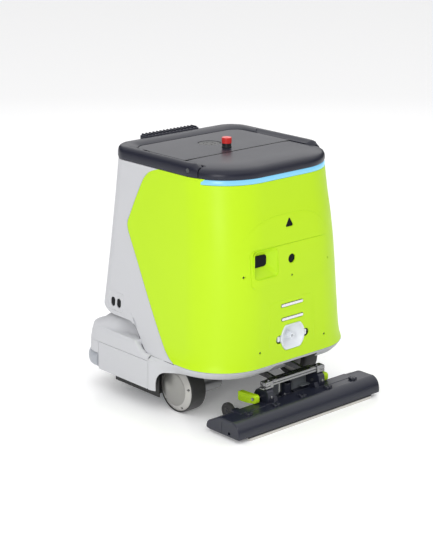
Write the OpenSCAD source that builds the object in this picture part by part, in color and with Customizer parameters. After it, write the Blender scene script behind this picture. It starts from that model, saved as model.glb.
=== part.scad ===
// Compact commercial floor-cleaning robot: scrub deck in front, driven wheels, squeegee behind.
// +Z up, +Y the way it drives, +X to the right seen from behind. Millimetres. The floor is z = 0.

/* [Body shell] */
// Half width of the body at the top of the covers
body_top_half_w = 222; // [219:1:224]
// Wall thickness of the moulded covers
wall = 3; // [2.5:0.5:3.5]
// Plan radius of the two rear corners
rear_corner_r = 140; // [134:2:146]
// Plan radius of the two front corners
front_corner_r = 60; // [50:2:64]
// Height where the covers end and the top cap begins
cover_top_z = 640; // [639:1:641]
// Height where the green cover ends at the bottom
cover_bottom_z = 148; // [146:1:150]
// Gap between neighbouring covers
seam = 0.6; // [0.4:0.1:1]

/* [Scrub deck] */
// Width over the scrub deck
deck_w = 552; // [548:2:552]
// Front end of the scrub deck
deck_front_y = 314.5; // [312:0.5:314.5]
// Lower edge of the deck housing
deck_bottom_z = 57; // [55:1:59]
// Radius of each roller brush
brush_r = 36; // [33:1:37]
// Height of the brush axis with the deck raised
brush_z = 67; // [66:1:68]

/* [Wheels] */
// Radius of the drive wheels
wheel_r = 65; // [63:1:65]
// Tyre width
tyre_w = 60; // [54:1:60]
// Outer face of the drive wheels
wheel_face_x = 239; // [236:1:240]
// Position of the drive axle along the machine
wheel_y = -39; // [-41:1:-37]
// Radius of the front casters
caster_r = 30; // [28:1:30]

/* [Top] */
// Upper surface of the lid
lid_z = 668; // [667:1:669]
// Highest point, the stop button
stop_top_z = 695; // [694:1:696]
// Half width of the lid
lid_half_w = 186; // [184:1:187]

/* [Squeegee] */
// Half width of the squeegee head
head_half_w = 258; // [254:1:260]
// Rear face of the squeegee head
head_rear_y = -314.5; // [-314.5:0.5:-312]
// Upper face of the squeegee head
head_top_z = 52; // [50:1:53]
// Half width of the rubber blades
blade_half_w = 221; // [216:1:224]

/* [Hidden] */
fine = 64;
coarse = 32;
slab = 0.1;
far = 400;
above = 800;

GREEN = [0.76, 0.93, 0.19];
GREY = [0.78, 0.78, 0.8];
DARK = [0.3, 0.32, 0.37];
BLACK = [0.1, 0.1, 0.11];
STEEL = [0.68, 0.68, 0.7];
RUBBER = [0.16, 0.16, 0.16];
PALE = [0.86, 0.88, 0.9];

// Body sections from the bottom up: height, half width, rear y, front y
TRUNK = [[cover_bottom_z, 258, -240, 266], [270, 246.5, -236, 271], [420, 236.5, -230, 256],
    [535, 229, -216, 245], [cover_top_z, body_top_half_w, -205, 236]];

// A closed prism between four rounded plan corners on every section
module loft(sections, grow = 0, over = 0, rear_r = rear_corner_r, front_r = front_corner_r) {
    last = len(sections) - 1;
    hull() for (i = [0:last], s = [-1, 1]) {
        sec = sections[i];
        z = sec[0] + (i == 0 ? -over : i == last ? over : 0);
        w = sec[1] + grow;
        translate([s * (w - rear_r), sec[2] - grow + rear_r, z])
            cylinder(h = slab, r = rear_r, $fn = fine);
        translate([s * (w - front_r), sec[3] + grow - front_r, z])
            cylinder(h = slab, r = front_r, $fn = coarse);
    }
}

module body_skin() {
    difference() {
        loft(TRUNK);
        loft(TRUNK, -wall, 3);
    }
}

// Extrudes an outline drawn in (y, z) from x0 to x1
module across(points, x0 = -far, x1 = far) {
    translate([x0, 0, 0]) rotate([90, 0, 90]) linear_extrude(x1 - x0) polygon(points);
}

module block(lo, hi) {
    translate(lo) cube(hi - lo);
}

module rod_x(x0, x1, y, z, r, n = fine) {
    translate([x0, y, z]) rotate([0, 90, 0]) cylinder(h = x1 - x0, r = r, $fn = n);
}

module rod_y(y0, y1, x, z, r, n = fine) {
    translate([x, y1, z]) rotate([90, 0, 0]) cylinder(h = y1 - y0, r = r, $fn = n);
}

module rod_z(z0, z1, x, y, r, n = fine) {
    translate([x, y, z0]) cylinder(h = z1 - z0, r = r, $fn = n);
}

module on_side(side) {
    if (side > 0) children();
    else mirror([1, 0, 0]) children();
}

module both_sides() {
    for (side = [-1, 1]) on_side(side) children();
}

// A flat slot with round ends, cut through the rear face
module rear_slot(half_w, z, half_h) {
    both_sides() rod_y(-260, -180, half_w - half_h, z, half_h, coarse);
    block([half_h - half_w, -260, z - half_h], [half_w - half_h, -180, z + half_h]);
}

// Parting line between the green rear cover and the grey front shell, in (y, z)
swoosh_point = [154, 475];
swoosh_low = [-22, 176];
swoosh_foot = [-62, 146];
swoosh_high = [97, 602];
swoosh_top = [72, 628];

// z at which the light strip starts behind the rear of the rim arms
strip_z = 625;
arm_end_y = -130;

function parting(gap) = [
    swoosh_foot - [gap, 0], swoosh_low - [16 + gap, 20], swoosh_low - [gap, 0],
    swoosh_point - [6 + gap, 14], swoosh_point - [gap, 0], swoosh_point - [5 + gap, -14],
    swoosh_high - [gap, 0], swoosh_top + [14 - gap, -8], swoosh_top - [gap, 0],
    [swoosh_top.x - 34 - gap, cover_top_z + 6]];

// Everything on one side of the parting line: towards the rear or towards the front
module beyond_parting(side, gap) {
    across(concat([[side * far, swoosh_foot.y]], parting(gap), [[side * far, cover_top_z + 6]]));
}

// Lower edge of the grey front shell in (y, z): level over the wheel, then a round S up to the chin
S_EDGE = [[-90, 146], [12, 148], [34, 149], [53, 154], [66, 163], [77, 177], [88, 192], [99, 204],
    [112, 213], [128, 218], [192, 217], [244, 233], [far, 233]];

// What lies under that edge, lowered by drop
module below_shell_edge(drop = 0) {
    across(concat([[-90, 0]], [for (p = S_EDGE) p - [0, drop]], [[far, 0]]));
}

// Raised service panel in the middle of the rear
panel_half_w = 136;
panel_z = [360, 458];
panel_r = 14;
pocket_x = [-130, -50];
pocket_z = [383, 455];

module panel_region(grow) {
    hull() for (x = [-1, 1], z = panel_z)
        rod_y(-260, -190, x * (panel_half_w - panel_r), z + (z > 400 ? -panel_r : panel_r),
            panel_r + grow, coarse);
}

port_z = 210;
port_r = 42;
contact_z = [297.4, 260.4];
eye_z = 418;
SCREWS = [[-156, 394], [134, 393], [-116, 189], [116, 189]];

module rear_cover() {
    color(GREEN) difference() {
        body_skin();
        beyond_parting(1, seam / 2);
        block([-far, -far, strip_z], [far, arm_end_y + 12, above]);
        block([-far, arm_end_y, cover_top_z - seam], [far, far, above]);
        panel_region(0.3);
        rod_y(-260, -180, 0, port_z, port_r + 0.4);
        rear_slot(59, 209, 11);
        for (z = contact_z) rear_slot(40, z, 4.6);
        translate([0, -260, 510]) rotate([-90, 30, 0]) cylinder(h = 80, r = 16, $fn = 3);
        for (p = SCREWS) rod_y(-260, -150, p.x, p.y, 3.6, coarse);
    }
}

module front_shell() {
    color(GREY) difference() {
        body_skin();
        below_shell_edge();
        beyond_parting(-1, -seam / 2);
        block([-far, -far, cover_top_z - seam], [far, far, above]);
        for (y = [165, 189]) {
            rod_x(-far, far, y, 261, 6.8, coarse);
            rod_x(-far, far, y, 249, 6.8, coarse);
            block([-far, y - 6.8, 249], [far, y + 6.8, 261]);
        }
        block([-103, 200, 528], [103, 290, 590]);
    }
}

// Service panel, with a sunk tray for the side-looking sensor
module rear_panel() {
    proud = 1.4;
    color(GREEN) {
        difference() {
            intersection() {
                difference() {
                    loft(TRUNK, proud);
                    loft(TRUNK, -wall, 3);
                }
                panel_region(0);
            }
            block([pocket_x[0], -260, pocket_z[0]], [pocket_x[1], -190, pocket_z[1]]);
            rod_y(-260, -190, 0, eye_z, 12.2);
            rod_y(-260, -190, 0, 374, 3.6, coarse);
        }
        difference() {
            block([pocket_x[0], -222, pocket_z[0]], [pocket_x[1], -203, pocket_z[1]]);
            block([pocket_x[0] + 2, -240, pocket_z[0] + 2], [pocket_x[1] - 2, -206, pocket_z[1] - 2]);
        }
    }
}

module sensor_window() {
    color(BLACK) block([-118, -215, 409], [-72, -206, 438]);
}

// Rear camera, triangular status window and the paired side windows
module sensor_lenses() {
    color(BLACK) {
        rod_y(-226, -205, 0, eye_z, 11.8);
        translate([0, -214, 510]) rotate([-90, 30, 0]) cylinder(h = 6, r = 15.4, $fn = 3);
        both_sides() for (y = [165, 189]) {
            rod_x(240, 247, y, 261, 6.4, coarse);
            rod_x(240, 247, y, 249, 6.4, coarse);
            block([240, y - 6.4, 249], [247, y + 6.4, 261]);
        }
    }
}

module charge_contacts() {
    color(STEEL) for (z = contact_z) {
        block([-35, -239.4, z - 4.2], [35, -228, z + 4.2]);
        both_sides() rod_y(-239.4, -228, 35, z, 4.2, coarse);
    }
}

// Water exchange port: shallow dish with a nozzle in the middle
nozzle_r = 8;
nozzle_bore_r = 3.5;

module dock_port() {
    dish_y = -240;
    color(PALE) difference() {
        union() {
            intersection() {
                rod_y(dish_y, -212, 0, port_z, port_r);
                block([-port_r, -250, 177], [port_r, -200, 245]);
            }
            rod_y(-234, -212, 0, port_z, nozzle_r);
        }
        intersection() {
            difference() {
                rod_y(dish_y - 1, -219, 0, port_z, port_r - 3);
                rod_y(-236, -210, 0, port_z, nozzle_r);
            }
            block([-port_r, -250, 180], [port_r, -200, 242]);
        }
        rod_y(-260, -200, 0, port_z, nozzle_bore_r);
    }
}

// Cover screws and the plugs over the rim screws
module trim_plugs() {
    color(STEEL) for (p = concat(SCREWS, [[0, 374]])) {
        y = (p.y > 300 ? -224 : -234) + (abs(p.x) > 120 ? 8 : 0);
        rod_y(y, y + 6, p.x, p.y, 3.2, coarse);
    }
    color(DARK) both_sides() rod_x(217.5, 222.8, -81, 656, 6.2, coarse);
}

module light_strip() {
    color([0.6, 0.9, 1]) intersection() {
        difference() {
            loft(TRUNK, -0.8);
            loft(TRUNK, -7, 3);
        }
        block([-far, -far, strip_z + 0.5], [far, arm_end_y + 11, cover_top_z - 2.5]);
    }
}

// Top sections: the cap behind the lid slopes off in a wide shoulder
CAP = [[cover_top_z - 2, 221, -204, 236], [654, 222, -205, 237], [663, 213, -196, 230],
    [lid_z - 1, 198, -176, 216], [lid_z, 186, -160, 210]];
RIM = [[cover_top_z, 222, -205, 236], [656, 223.5, -206, 240], [668, 219, -202, 236],
    [674.5, 210, -194, 226]];

module lid_outline(grow) {
    lo = -25;
    hi = 184;
    r = 38;
    hull() {
        translate([-lid_half_w - grow, lo]) square([2 * (lid_half_w + grow), 20]);
        for (s = [-1, 1]) translate([s * (lid_half_w - r), hi - r]) circle(r = r + grow, $fn = fine);
    }
}

hinge_y = -25;
hinge_z = lid_z - 5;
hinge_pin_r = 2.5;

module rear_cap() {
    front_y = hinge_y - 6;
    color(DARK) difference() {
        loft(CAP, 0, 0, 120, 58);
        translate([0, 0, -wall]) loft(CAP, -wall, 0, 117, 55);
        block([-far, front_y, 600], [far, far, 700]);
        both_sides() block([lid_half_w + seam, arm_end_y - seam, 600], [far, far, 700]);
    }
}

module top_rim() {
    color(DARK) difference() {
        loft(RIM, 0, 0, 130, front_corner_r);
        translate([0, 0, 600]) linear_extrude(100) lid_outline(1.2);
        block([-lid_half_w - 1.2, -far, 600], [lid_half_w + 1.2, 0, 700]);
        block([-far, -far, 600], [far, arm_end_y, 700]);
        both_sides() rod_x(lid_half_w, 200, hinge_y, hinge_z, hinge_pin_r + 0.05);
        both_sides() rod_x(217, 230, -81, 656, 6.6, coarse);
    }
}

// Ribbed pull in front of the rim
module rim_grip() {
    ribs = 12;
    pitch = 15.2;
    color(DARK) {
        difference() {
            block([-98, 225, 658], [92, 262, 676]);
            loft(RIM, 0.1, 0, 130, front_corner_r);
        }
        for (i = [0:ribs]) rod_y(244, 261, i * pitch - 94, 676, 4.5, coarse);
    }
}

module lid_hinge_pins() {
    color(STEEL) both_sides() rod_x(lid_half_w - 8, lid_half_w + 10, hinge_y, hinge_z, hinge_pin_r);
}

lens_y = 88;
stop_y = 19;

module lid() {
    color(DARK) difference() {
        union() {
            translate([0, 0, 650]) linear_extrude(lid_z - 650) lid_outline(0);
            rod_x(-lid_half_w, lid_half_w, hinge_y, hinge_z, 5);
        }
        translate([0, 0, 640]) linear_extrude(24) intersection() {
            lid_outline(-4);
            translate([-far, -12]) square([2 * far, far]);
        }
        block([-far, -60, 640], [far, hinge_y + 1, hinge_z - 6]);
        block([-far, hinge_y - 6, 640], [far, hinge_y, hinge_z - 4.9]);
        both_sides() rod_x(lid_half_w - 9, lid_half_w + 1, hinge_y, hinge_z, hinge_pin_r + 0.05);
        rod_z(660, 670, 0, lens_y, 30.4);
        rod_z(640, 670, 0, stop_y, 12.4);
    }
}

module ceiling_lens() {
    color(BLACK) {
        rod_z(664.2, lid_z - 0.4, 0, lens_y, 30);
        for (a = [0:60:300])
            rod_z(lid_z - 0.4, lid_z, 14 * cos(a), lens_y + 14 * sin(a), 2, coarse);
    }
}

stop_cap_z = stop_top_z - 16;
stop_travel = 5;

module stop_base() {
    color(BLACK) difference() {
        rod_z(654, stop_cap_z + 4.5, 0, stop_y, 12);
        rod_z(653, stop_cap_z - 10, 0, stop_y, 9);
    }
}

module stop_button() {
    color("red") difference() {
        rod_z(stop_cap_z, stop_top_z, 0, stop_y, 13.2);
        rod_z(stop_cap_z - 1, stop_cap_z + 10, 0, stop_y, 12.3);
    }
}

// Touch screen on the front: neck, bezel and glass
module display() {
    color(BLACK) {
        block([-100, 246, 532], [100, 268, 586]);
        hull() both_sides() {
            rod_y(268, 281, 146, 540, 14, coarse);
            rod_y(268, 281, 146, 578, 14, coarse);
        }
    }
}

module display_glass() {
    color([0.12, 0.14, 0.18]) block([-142, 281, 534], [142, 284, 584]);
}

// Recessed waist between the deck and the chin of the front shell
neck_half_w = 224;
neck_front_y = 225;
neck_rear_y = 46;

// Plan of the waist: square behind, round in front
module neck_plan(grow) {
    w = neck_half_w + grow;
    r = front_corner_r + grow;
    front_y = neck_front_y + grow;
    translate([-w, 0]) square([2 * w, front_y - r]);
    translate([r - w, 0]) square([2 * (w - r), front_y]);
    for (s = [-1, 1]) translate([s * (w - r), front_y - r]) circle(r = r, $fn = fine);
}

module neck_cover() {
    color(GREY) translate([0, 0, 168]) linear_extrude(60) difference() {
        neck_plan(0);
        neck_plan(-wall);
        translate([-far, -1]) square([2 * far, neck_rear_y + 1]);
    }
}

deck_half_w = deck_w / 2;
deck_rear_y = 20.6;
HOUSING = [[deck_bottom_z, deck_half_w - 2, -60, deck_front_y - 9],
    [72, deck_half_w, -60, deck_front_y - 3], [137, deck_half_w, -60, deck_front_y - 9],
    [172, deck_half_w - 4, -60, deck_front_y - 20], [182, deck_half_w - 12, -60, deck_front_y - 32],
    [200, 236, -60, 264]];
bumper_z = 102;
bumper_y = 240;

module housing_skin() {
    difference() {
        intersection() {
            loft(HOUSING, 0, 0, 20, 58);
            below_shell_edge(seam);
        }
        intersection() {
            translate([0, 0, -wall]) loft(HOUSING, -wall, 0, 18, 55);
            below_shell_edge(seam + wall);
        }
        block([-far, -far, 0], [far, deck_rear_y, 300]);
        translate([0, 0, 142]) linear_extrude(100) neck_plan(0.4);
    }
}

module side_cover_region(side, gap) {
    on_side(side) block([deck_half_w - 8, 24 - gap, 0], [far, 229 + gap, 136 + gap]);
}

module deck_housing() {
    color(GREY) difference() {
        housing_skin();
        side_cover_region(1, 0.3);
        side_cover_region(-1, 0.3);
        block([-far, bumper_y - 6, 0], [far, far, bumper_z + 0.6]);
    }
}

module side_cover(side) {
    color(GREY) intersection() {
        housing_skin();
        side_cover_region(side, -0.3);
    }
}

module side_cover_left() side_cover(-1);
module side_cover_right() side_cover(1);

// Pressure-sensitive bumper wrapped round the front of the deck
bumper_travel = 4;

module front_bumper() {
    sections = [[60, deck_half_w - 4, -60, deck_front_y - 6],
        [80, deck_half_w - 0.6, -60, deck_front_y],
        [bumper_z - slab, deck_half_w - 5, -60, deck_front_y - 8]];
    color([0.7, 0.75, 0.8]) difference() {
        loft(sections, 0, 0, 20, 58);
        loft(sections, -4, 2, 18, 54);
        block([-far, -far, 0], [far, bumper_y, 300]);
    }
}

arch_y = -3;

// Skirt under the covers: arch flanks beside the deck, narrowing to the rear
module skirt_form(grow, over) {
    rear_r = 130;
    hull() both_sides() {
        for (z = [deck_bottom_z - over, 140])
            translate([deck_half_w - 0.5 + grow - 2, deck_rear_y - 3 + over, z])
                cylinder(h = slab, r = 2, $fn = coarse);
        translate([262 + grow - rear_r, -232 - grow + rear_r, 148 + over - slab])
            cylinder(h = slab, r = rear_r, $fn = fine);
        translate([deck_half_w - 12 + grow - 2, deck_rear_y - 3 + over, 148 + over - slab])
            cylinder(h = slab, r = 2, $fn = coarse);
        translate([254 + grow - rear_r, -206 - grow + rear_r, 112 - over])
            cylinder(h = slab, r = rear_r, $fn = fine);
    }
}

module lower_skirt() {
    color(GREY) difference() {
        skirt_form(0, 0);
        skirt_form(-wall, 5);
        // Everything below the lower edge, which starts at the front of the wheel arch
        across([[-far, 0], [-far, 127], [-200, 125], [-110, 121], [-35, 113], [arch_y - 20, 112],
            [arch_y - 8, 106], [arch_y, 92], [arch_y, 0]]);
        block([-66, -far, 0], [98, -150, 145]);
        block([-far, 5, 146.5], [far, far, 200]);
    }
}

chassis_z = 133;
chassis_t = 5;
CASTER = [110, 250];
caster_trail = 20;

module chassis() {
    notch_x = wheel_face_x - tyre_w - 8;
    color([0.4, 0.42, 0.45]) difference() {
        union() {
            block([-236, -60, chassis_z], [236, 290, chassis_z + chassis_t]);
            block([-196, -150, chassis_z], [196, 10, chassis_z + chassis_t]);
            // Pivot ears of the squeegee lift
            both_sides() block([58, -134, 98], [66, -106, chassis_z]);
            both_sides() block([14, -134, 98], [22, -106, chassis_z]);
            both_sides() rod_z(124, chassis_z, CASTER.x, CASTER.y, 22);
        }
        both_sides() block([notch_x, wheel_y - wheel_r - 8, 0], [far, wheel_y + wheel_r + 8, 200]);
        both_sides() rod_z(100, 200, CASTER.x, CASTER.y, 8.05);
        rod_x(-80, 80, arm_y, arm_z, 5.05);
    }
}

module drive_unit(side) {
    x_in = wheel_face_x - tyre_w;
    color(STEEL) on_side(side) {
        rod_x(96, x_in - 6, wheel_y, wheel_r, 32);
        rod_x(x_in - 6, wheel_face_x - 8, wheel_y, wheel_r, 8);
        block([112, wheel_y - 26, wheel_r], [150, wheel_y + 26, chassis_z]);
    }
}

module drive_unit_left() drive_unit(-1);
module drive_unit_right() drive_unit(1);

module tyre(side) {
    x_in = wheel_face_x - tyre_w;
    color(RUBBER) on_side(side) translate([x_in, wheel_y, wheel_r]) rotate([0, 90, 0])
        rotate_extrude($fn = 96) polygon([[50, 0], [wheel_r - 6, 0], [wheel_r - 1.5, 4], [wheel_r, 10],
            [wheel_r, tyre_w - 10], [wheel_r - 1.5, tyre_w - 4], [wheel_r - 6, tyre_w - 1],
            [57.5, tyre_w - 1], [50, tyre_w - 5.5]]);
}

module tyre_left() tyre(-1);
module tyre_right() tyre(1);

module hub(side) {
    x_in = wheel_face_x - tyre_w;
    color([0.63, 0.62, 0.61]) on_side(side) difference() {
        translate([x_in, wheel_y, wheel_r]) rotate([0, 90, 0]) rotate_extrude($fn = 96)
            polygon([[8.05, 4], [49.8, 4], [49.8, tyre_w - 4], [56, tyre_w - 0.8], [53, tyre_w - 0.8],
                [42, tyre_w], [0, tyre_w], [0, tyre_w - 5], [8.05, tyre_w - 5]]);
        for (a = [30:60:330])
            rod_x(wheel_face_x - 3, wheel_face_x + 1, wheel_y + 47 * cos(a), wheel_r + 47 * sin(a),
                2.2, coarse);
    }
}

module hub_left() hub(-1);
module hub_right() hub(1);

module caster_fork(side) {
    color(STEEL) on_side(side) translate([CASTER.x, CASTER.y, 0]) difference() {
        union() {
            rod_z(74, chassis_z + chassis_t + 3, 0, 0, 8);
            rod_z(66, 74, 0, 0, 20);
            block([-17, -30, 66], [17, 8, 70]);
            for (s = [-1, 1]) hull() {
                block([s * 15.5 - 1.5, -30, 62], [s * 15.5 + 1.5, 6, 67]);
                rod_x(s * 15.5 - 1.5, s * 15.5 + 1.5, -caster_trail, caster_r, 9, coarse);
            }
            rod_x(-17, 17, -caster_trail, caster_r, 4);
        }
    }
}

module caster_fork_left() caster_fork(-1);
module caster_fork_right() caster_fork(1);

module caster_wheel(side) {
    color(RUBBER) on_side(side) translate([CASTER.x, CASTER.y - caster_trail, caster_r])
        rotate([0, 90, 0]) rotate_extrude($fn = fine) polygon([[4.05, -12], [caster_r - 5, -12],
            [caster_r, -8], [caster_r, 8], [caster_r - 5, 12], [4.05, 12]]);
}

module caster_wheel_left() caster_wheel(-1);
module caster_wheel_right() caster_wheel(1);

BRUSH_Y = [72, 150];
shaft_r = 6;
brush_end_x = 236;
frame_y = [32, 189];
motor_y = 111;
motor_z = 95.4;
motor_r = 10.5;

module brush_frame() {
    color([0.35, 0.36, 0.4]) difference() {
        union() {
            block([-245, frame_y[0], 106], [245, frame_y[1], 110]);
            both_sides() block([240, frame_y[0], 42], [245, frame_y[1], 110]);
            // Guides that run in the chassis
            both_sides() rod_z(110, 129, 140, motor_y, 10);
        }
        for (y = BRUSH_Y) rod_x(-far, far, y, brush_z, shaft_r + 0.05);
    }
}

// Bristle roller on its steel shaft
module roller(y) {
    color([0.25, 0.3, 0.36]) {
        rod_x(-brush_end_x, brush_end_x, y, brush_z, brush_r);
        rod_x(-244, 244, y, brush_z, shaft_r);
    }
}

module brush_front() roller(BRUSH_Y[1]);
module brush_rear() roller(BRUSH_Y[0]);

module brush_motor() {
    color(STEEL) rod_x(-160, -30, motor_y, motor_z, motor_r);
}

// Rubber skirt round the brush box, with side flaps that run back past the wheels
module splash_skirt() {
    color(RUBBER) {
        both_sides() block([246, 7, 31], [250, 192, 100]);
        block([-246, frame_y[1] + 0.5, 31], [246, 192, 100]);
        block([-246, 28.5, 31], [246, frame_y[0] - 0.5, 100]);
    }
}

module battery() {
    color(BLACK) {
        block([-110, -70, chassis_z + chassis_t], [110, 66, 232]);
        block([-50, -20, 232], [50, 16, 237]);
    }
}

module fan_motor() {
    color(BLACK) {
        rod_z(chassis_z + chassis_t, 214, 0, 140, 50);
        rod_z(214, 230, 0, 140, 22);
    }
}

module water_pump() {
    color(BLACK) {
        block([110, 90, chassis_z + chassis_t], [160, 160, 170]);
        rod_x(160, 196, 125, 154, 15);
    }
}

module control_unit() {
    color([0.2, 0.4, 0.3]) {
        block([-196, 80, chassis_z + chassis_t], [-76, 190, 160]);
        for (y = [95:24:170]) block([-186, y, 160], [-150, y + 14, 172]);
    }
}

module lift_motor() {
    color(STEEL) {
        block([-26, -150, chassis_z + chassis_t], [26, -78, 178]);
        rod_x(26, 60, -118, 160, 16);
    }
}

// Full tanks: each with a round filling mouth under its own cap
tank_mouth_r = 26;
CLEAN_MOUTH = [95, 142];
WASTE_MOUTH = [-90, 22];
clean_top_z = 548;
waste_top_z = 540;
mouth_depth = 40;

cap_r = 36;
cap_hinge_off = 42;
cap_lift = 10.4;
cap_pin_r = 1.5;

module tank_mouth(at, top_z) {
    z = top_z + cap_lift + 3;
    difference() {
        union() {
            children();
            rod_z(top_z - 1, top_z + 10, at.x, at.y, tank_mouth_r + 6);
            for (s = [-1, 1]) translate([at.x + s * 10.5, at.y - cap_hinge_off, 0])
                block([-2, -4, top_z - 1], [2, 4, z + 4]);
        }
        rod_z(top_z - mouth_depth, top_z + 20, at.x, at.y, tank_mouth_r);
    }
    rod_x(at.x - 9, at.x + 9, at.y - cap_hinge_off, z, cap_pin_r, coarse);
}

module clean_tank() {
    color([0.75, 0.82, 0.88]) tank_mouth(CLEAN_MOUTH, clean_top_z)
        block([-190, 76, 242], [190, 214, clean_top_z]);
}

module waste_tank() {
    color([0.6, 0.66, 0.7]) tank_mouth(WASTE_MOUTH, waste_top_z)
        block([-190, -150, 242], [190, 68, waste_top_z]);
}

module tank_cap(at, top_z) {
    z = top_z + cap_lift;
    color([0.2, 0.45, 0.75]) difference() {
        union() {
            rod_z(z, z + 7, at.x, at.y, cap_r);
            block([at.x - 8, at.y - cap_hinge_off, z], [at.x + 8, at.y - 20, z + 6]);
            rod_x(at.x - 8, at.x + 8, at.y - cap_hinge_off, z + 3, 3, coarse);
        }
        rod_x(at.x - 9, at.x + 9, at.y - cap_hinge_off, z + 3, cap_pin_r + 0.05, coarse);
    }
}

module clean_cap() tank_cap(CLEAN_MOUTH, clean_top_z);
module waste_cap() tank_cap(WASTE_MOUTH, waste_top_z);

// Squeegee lift: two arms from the chassis ears out to a crossbar, which carries the head
arm_y = -120;
arm_z = 110;
bar_y = -235;
bar_z = 101;

bolt_y = -231.6;
bolt_z = 66;

module lift_frame() {
    color(STEEL) {
        both_sides() {
            hull() {
                rod_x(48, 56, arm_y, arm_z, 10);
                rod_x(48, 56, bar_y + 14, bar_z, 7);
            }
            rod_x(12, 70, arm_y, arm_z, 5);
            rod_x(70, 102, bar_y, bar_z, 4);
        }
        block([-76, bar_y - 9, bar_z - 4], [76, bar_y + 9, bar_z + 4]);
    }
}

// Dark lugs on the head with thin plates between them
module head_carrier() {
    z0 = head_top_z + 0.2;
    lug = [[-256, z0], [-206, z0], [-206, 74], [-227, 88], [-249, 88], [-256, 74]];
    color(DARK) both_sides() difference() {
        across(lug, 82, 104);
        rod_x(70, 110, bolt_y, bolt_z, 4.05);
    }
    color(PALE) both_sides() block([22, -209, 54], [81.8, -206, 84]);
}

module pivot_clamps() {
    color([0.8, 0.8, 0.8]) both_sides() {
        difference() {
            block([80, -249, 88], [106, -227.5, 108]);
            rod_x(70, 120, bar_y, bar_z, 4.05);
        }
        rod_x(80, 136, bolt_y, bolt_z, 4);
    }
}

HEAD = [[-188, 14], [-190, 24], [-200, 34], [-214, 40], [-234, head_top_z - 6], [-240, head_top_z],
    [-292, head_top_z], [-304, head_top_z - 5], [-311, head_top_z - 16], [head_rear_y, 24],
    [head_rear_y, 10], [-304, 8], [-196, 8]];

STUB = [0, -214];
stub_r = 15;
stub_bore_r = 12;
stub_top_z = 76;
ROLLER = [160, -166];
roller_r = 22;

module squeegee_head() {
    color(DARK) {
        difference() {
            union() {
                across(HEAD, -head_half_w, head_half_w);
                both_sides() block([78, -258, 38], [108, -204, head_top_z]);
                rod_z(30, stub_top_z, STUB.x, STUB.y, stub_r);
                both_sides() block([148, -192, 10], [152, ROLLER.y + 7, 30]);
            }
            both_sides() rod_x(head_half_w - 8, head_half_w + 1, -277, 18, 3.2, coarse);
            rod_z(14, stub_top_z + 1, STUB.x, STUB.y, stub_bore_r);
        }
        both_sides() rod_x(152, 167, ROLLER.y, roller_r, 3);
    }
}

module squeegee_blades() {
    color([0.72, 0.71, 0.69]) {
        block([-blade_half_w, -312.5, 0], [blade_half_w, -309, 7.7]);
        block([-blade_half_w, -204, 1.5], [blade_half_w, -200.5, 7.7]);
    }
}

KNOB_PITCH = 95.3;

// Five star knobs that clamp the blade strip
module blade_knobs() {
    color(DARK) for (i = [-2:2]) translate([i * KNOB_PITCH, -276, head_top_z + 0.2]) {
        cylinder(h = 5, r = 9, $fn = coarse);
        for (a = [0, 60, 120]) rotate([0, 0, a]) translate([-11, -2.5, 2]) cube([22, 5, 4]);
    }
}

// Quick-release lever that swings up on the carrier bolt
module latch(side) {
    outline = [[-240, 60], [-237, 56], [-222, 53], [-206, 46], [-170, 44], [-167, 48],
        [-167, 69], [-172, 73], [-234, 75], [-240, 71]];
    color(GREEN) on_side(side) difference() {
        across(outline, 118, 134);
        rod_x(110, 140, bolt_y, bolt_z, 4.05);
        for (z = [52, 59, 66]) rod_y(-215, -175, 134.8, z, 1.8, coarse);
    }
}

module latch_left() latch(-1);
module latch_right() latch(1);

module head_roller(side) {
    color(RUBBER) on_side(side) difference() {
        rod_x(153, 166, ROLLER.y, roller_r, roller_r);
        rod_x(150, 170, ROLLER.y, roller_r, 3.05);
    }
}

module head_roller_left() head_roller(-1);
module head_roller_right() head_roller(1);

rear_cover();
front_shell();
lower_skirt();
rear_panel();
sensor_window();
sensor_lenses();
charge_contacts();
dock_port();
trim_plugs();
light_strip();
rear_cap();
top_rim();
rim_grip();
lid_hinge_pins();
lid();
ceiling_lens();
stop_base();
stop_button();
display();
display_glass();
neck_cover();
deck_housing();
side_cover_left();
side_cover_right();
front_bumper();
chassis();
drive_unit_left();
drive_unit_right();
tyre_left();
tyre_right();
hub_left();
hub_right();
caster_fork_left();
caster_fork_right();
caster_wheel_left();
caster_wheel_right();
brush_frame();
brush_front();
brush_rear();
brush_motor();
splash_skirt();
battery();
fan_motor();
water_pump();
control_unit();
lift_motor();
clean_tank();
waste_tank();
clean_cap();
waste_cap();
lift_frame();
head_carrier();
pivot_clamps();
squeegee_head();
squeegee_blades();
blade_knobs();
latch_left();
latch_right();
head_roller_left();
head_roller_right();
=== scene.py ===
import math

import bmesh
import bpy
from mathutils import Matrix, Vector


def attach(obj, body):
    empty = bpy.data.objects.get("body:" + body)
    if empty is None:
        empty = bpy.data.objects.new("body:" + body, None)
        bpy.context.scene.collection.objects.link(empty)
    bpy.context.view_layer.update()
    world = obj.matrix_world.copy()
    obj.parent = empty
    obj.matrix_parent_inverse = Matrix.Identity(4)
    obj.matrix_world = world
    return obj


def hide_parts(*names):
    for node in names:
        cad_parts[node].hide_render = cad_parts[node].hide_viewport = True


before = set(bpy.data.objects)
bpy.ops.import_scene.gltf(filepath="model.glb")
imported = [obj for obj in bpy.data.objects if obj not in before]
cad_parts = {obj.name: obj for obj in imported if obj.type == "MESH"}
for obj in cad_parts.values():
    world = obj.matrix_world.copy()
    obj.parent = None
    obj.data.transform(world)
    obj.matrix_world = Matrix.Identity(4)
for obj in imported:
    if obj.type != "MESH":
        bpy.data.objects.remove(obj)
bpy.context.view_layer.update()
MM = 0.001

# ---------------------------------------------------------------- camera
LENS = 105.91
SENSOR = 36.0
CAMERA_AT = Vector((-2.7593, -3.0291, 1.5634))
AZIMUTH = math.radians(-41.78)
ELEVATION = math.radians(16.73)


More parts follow.
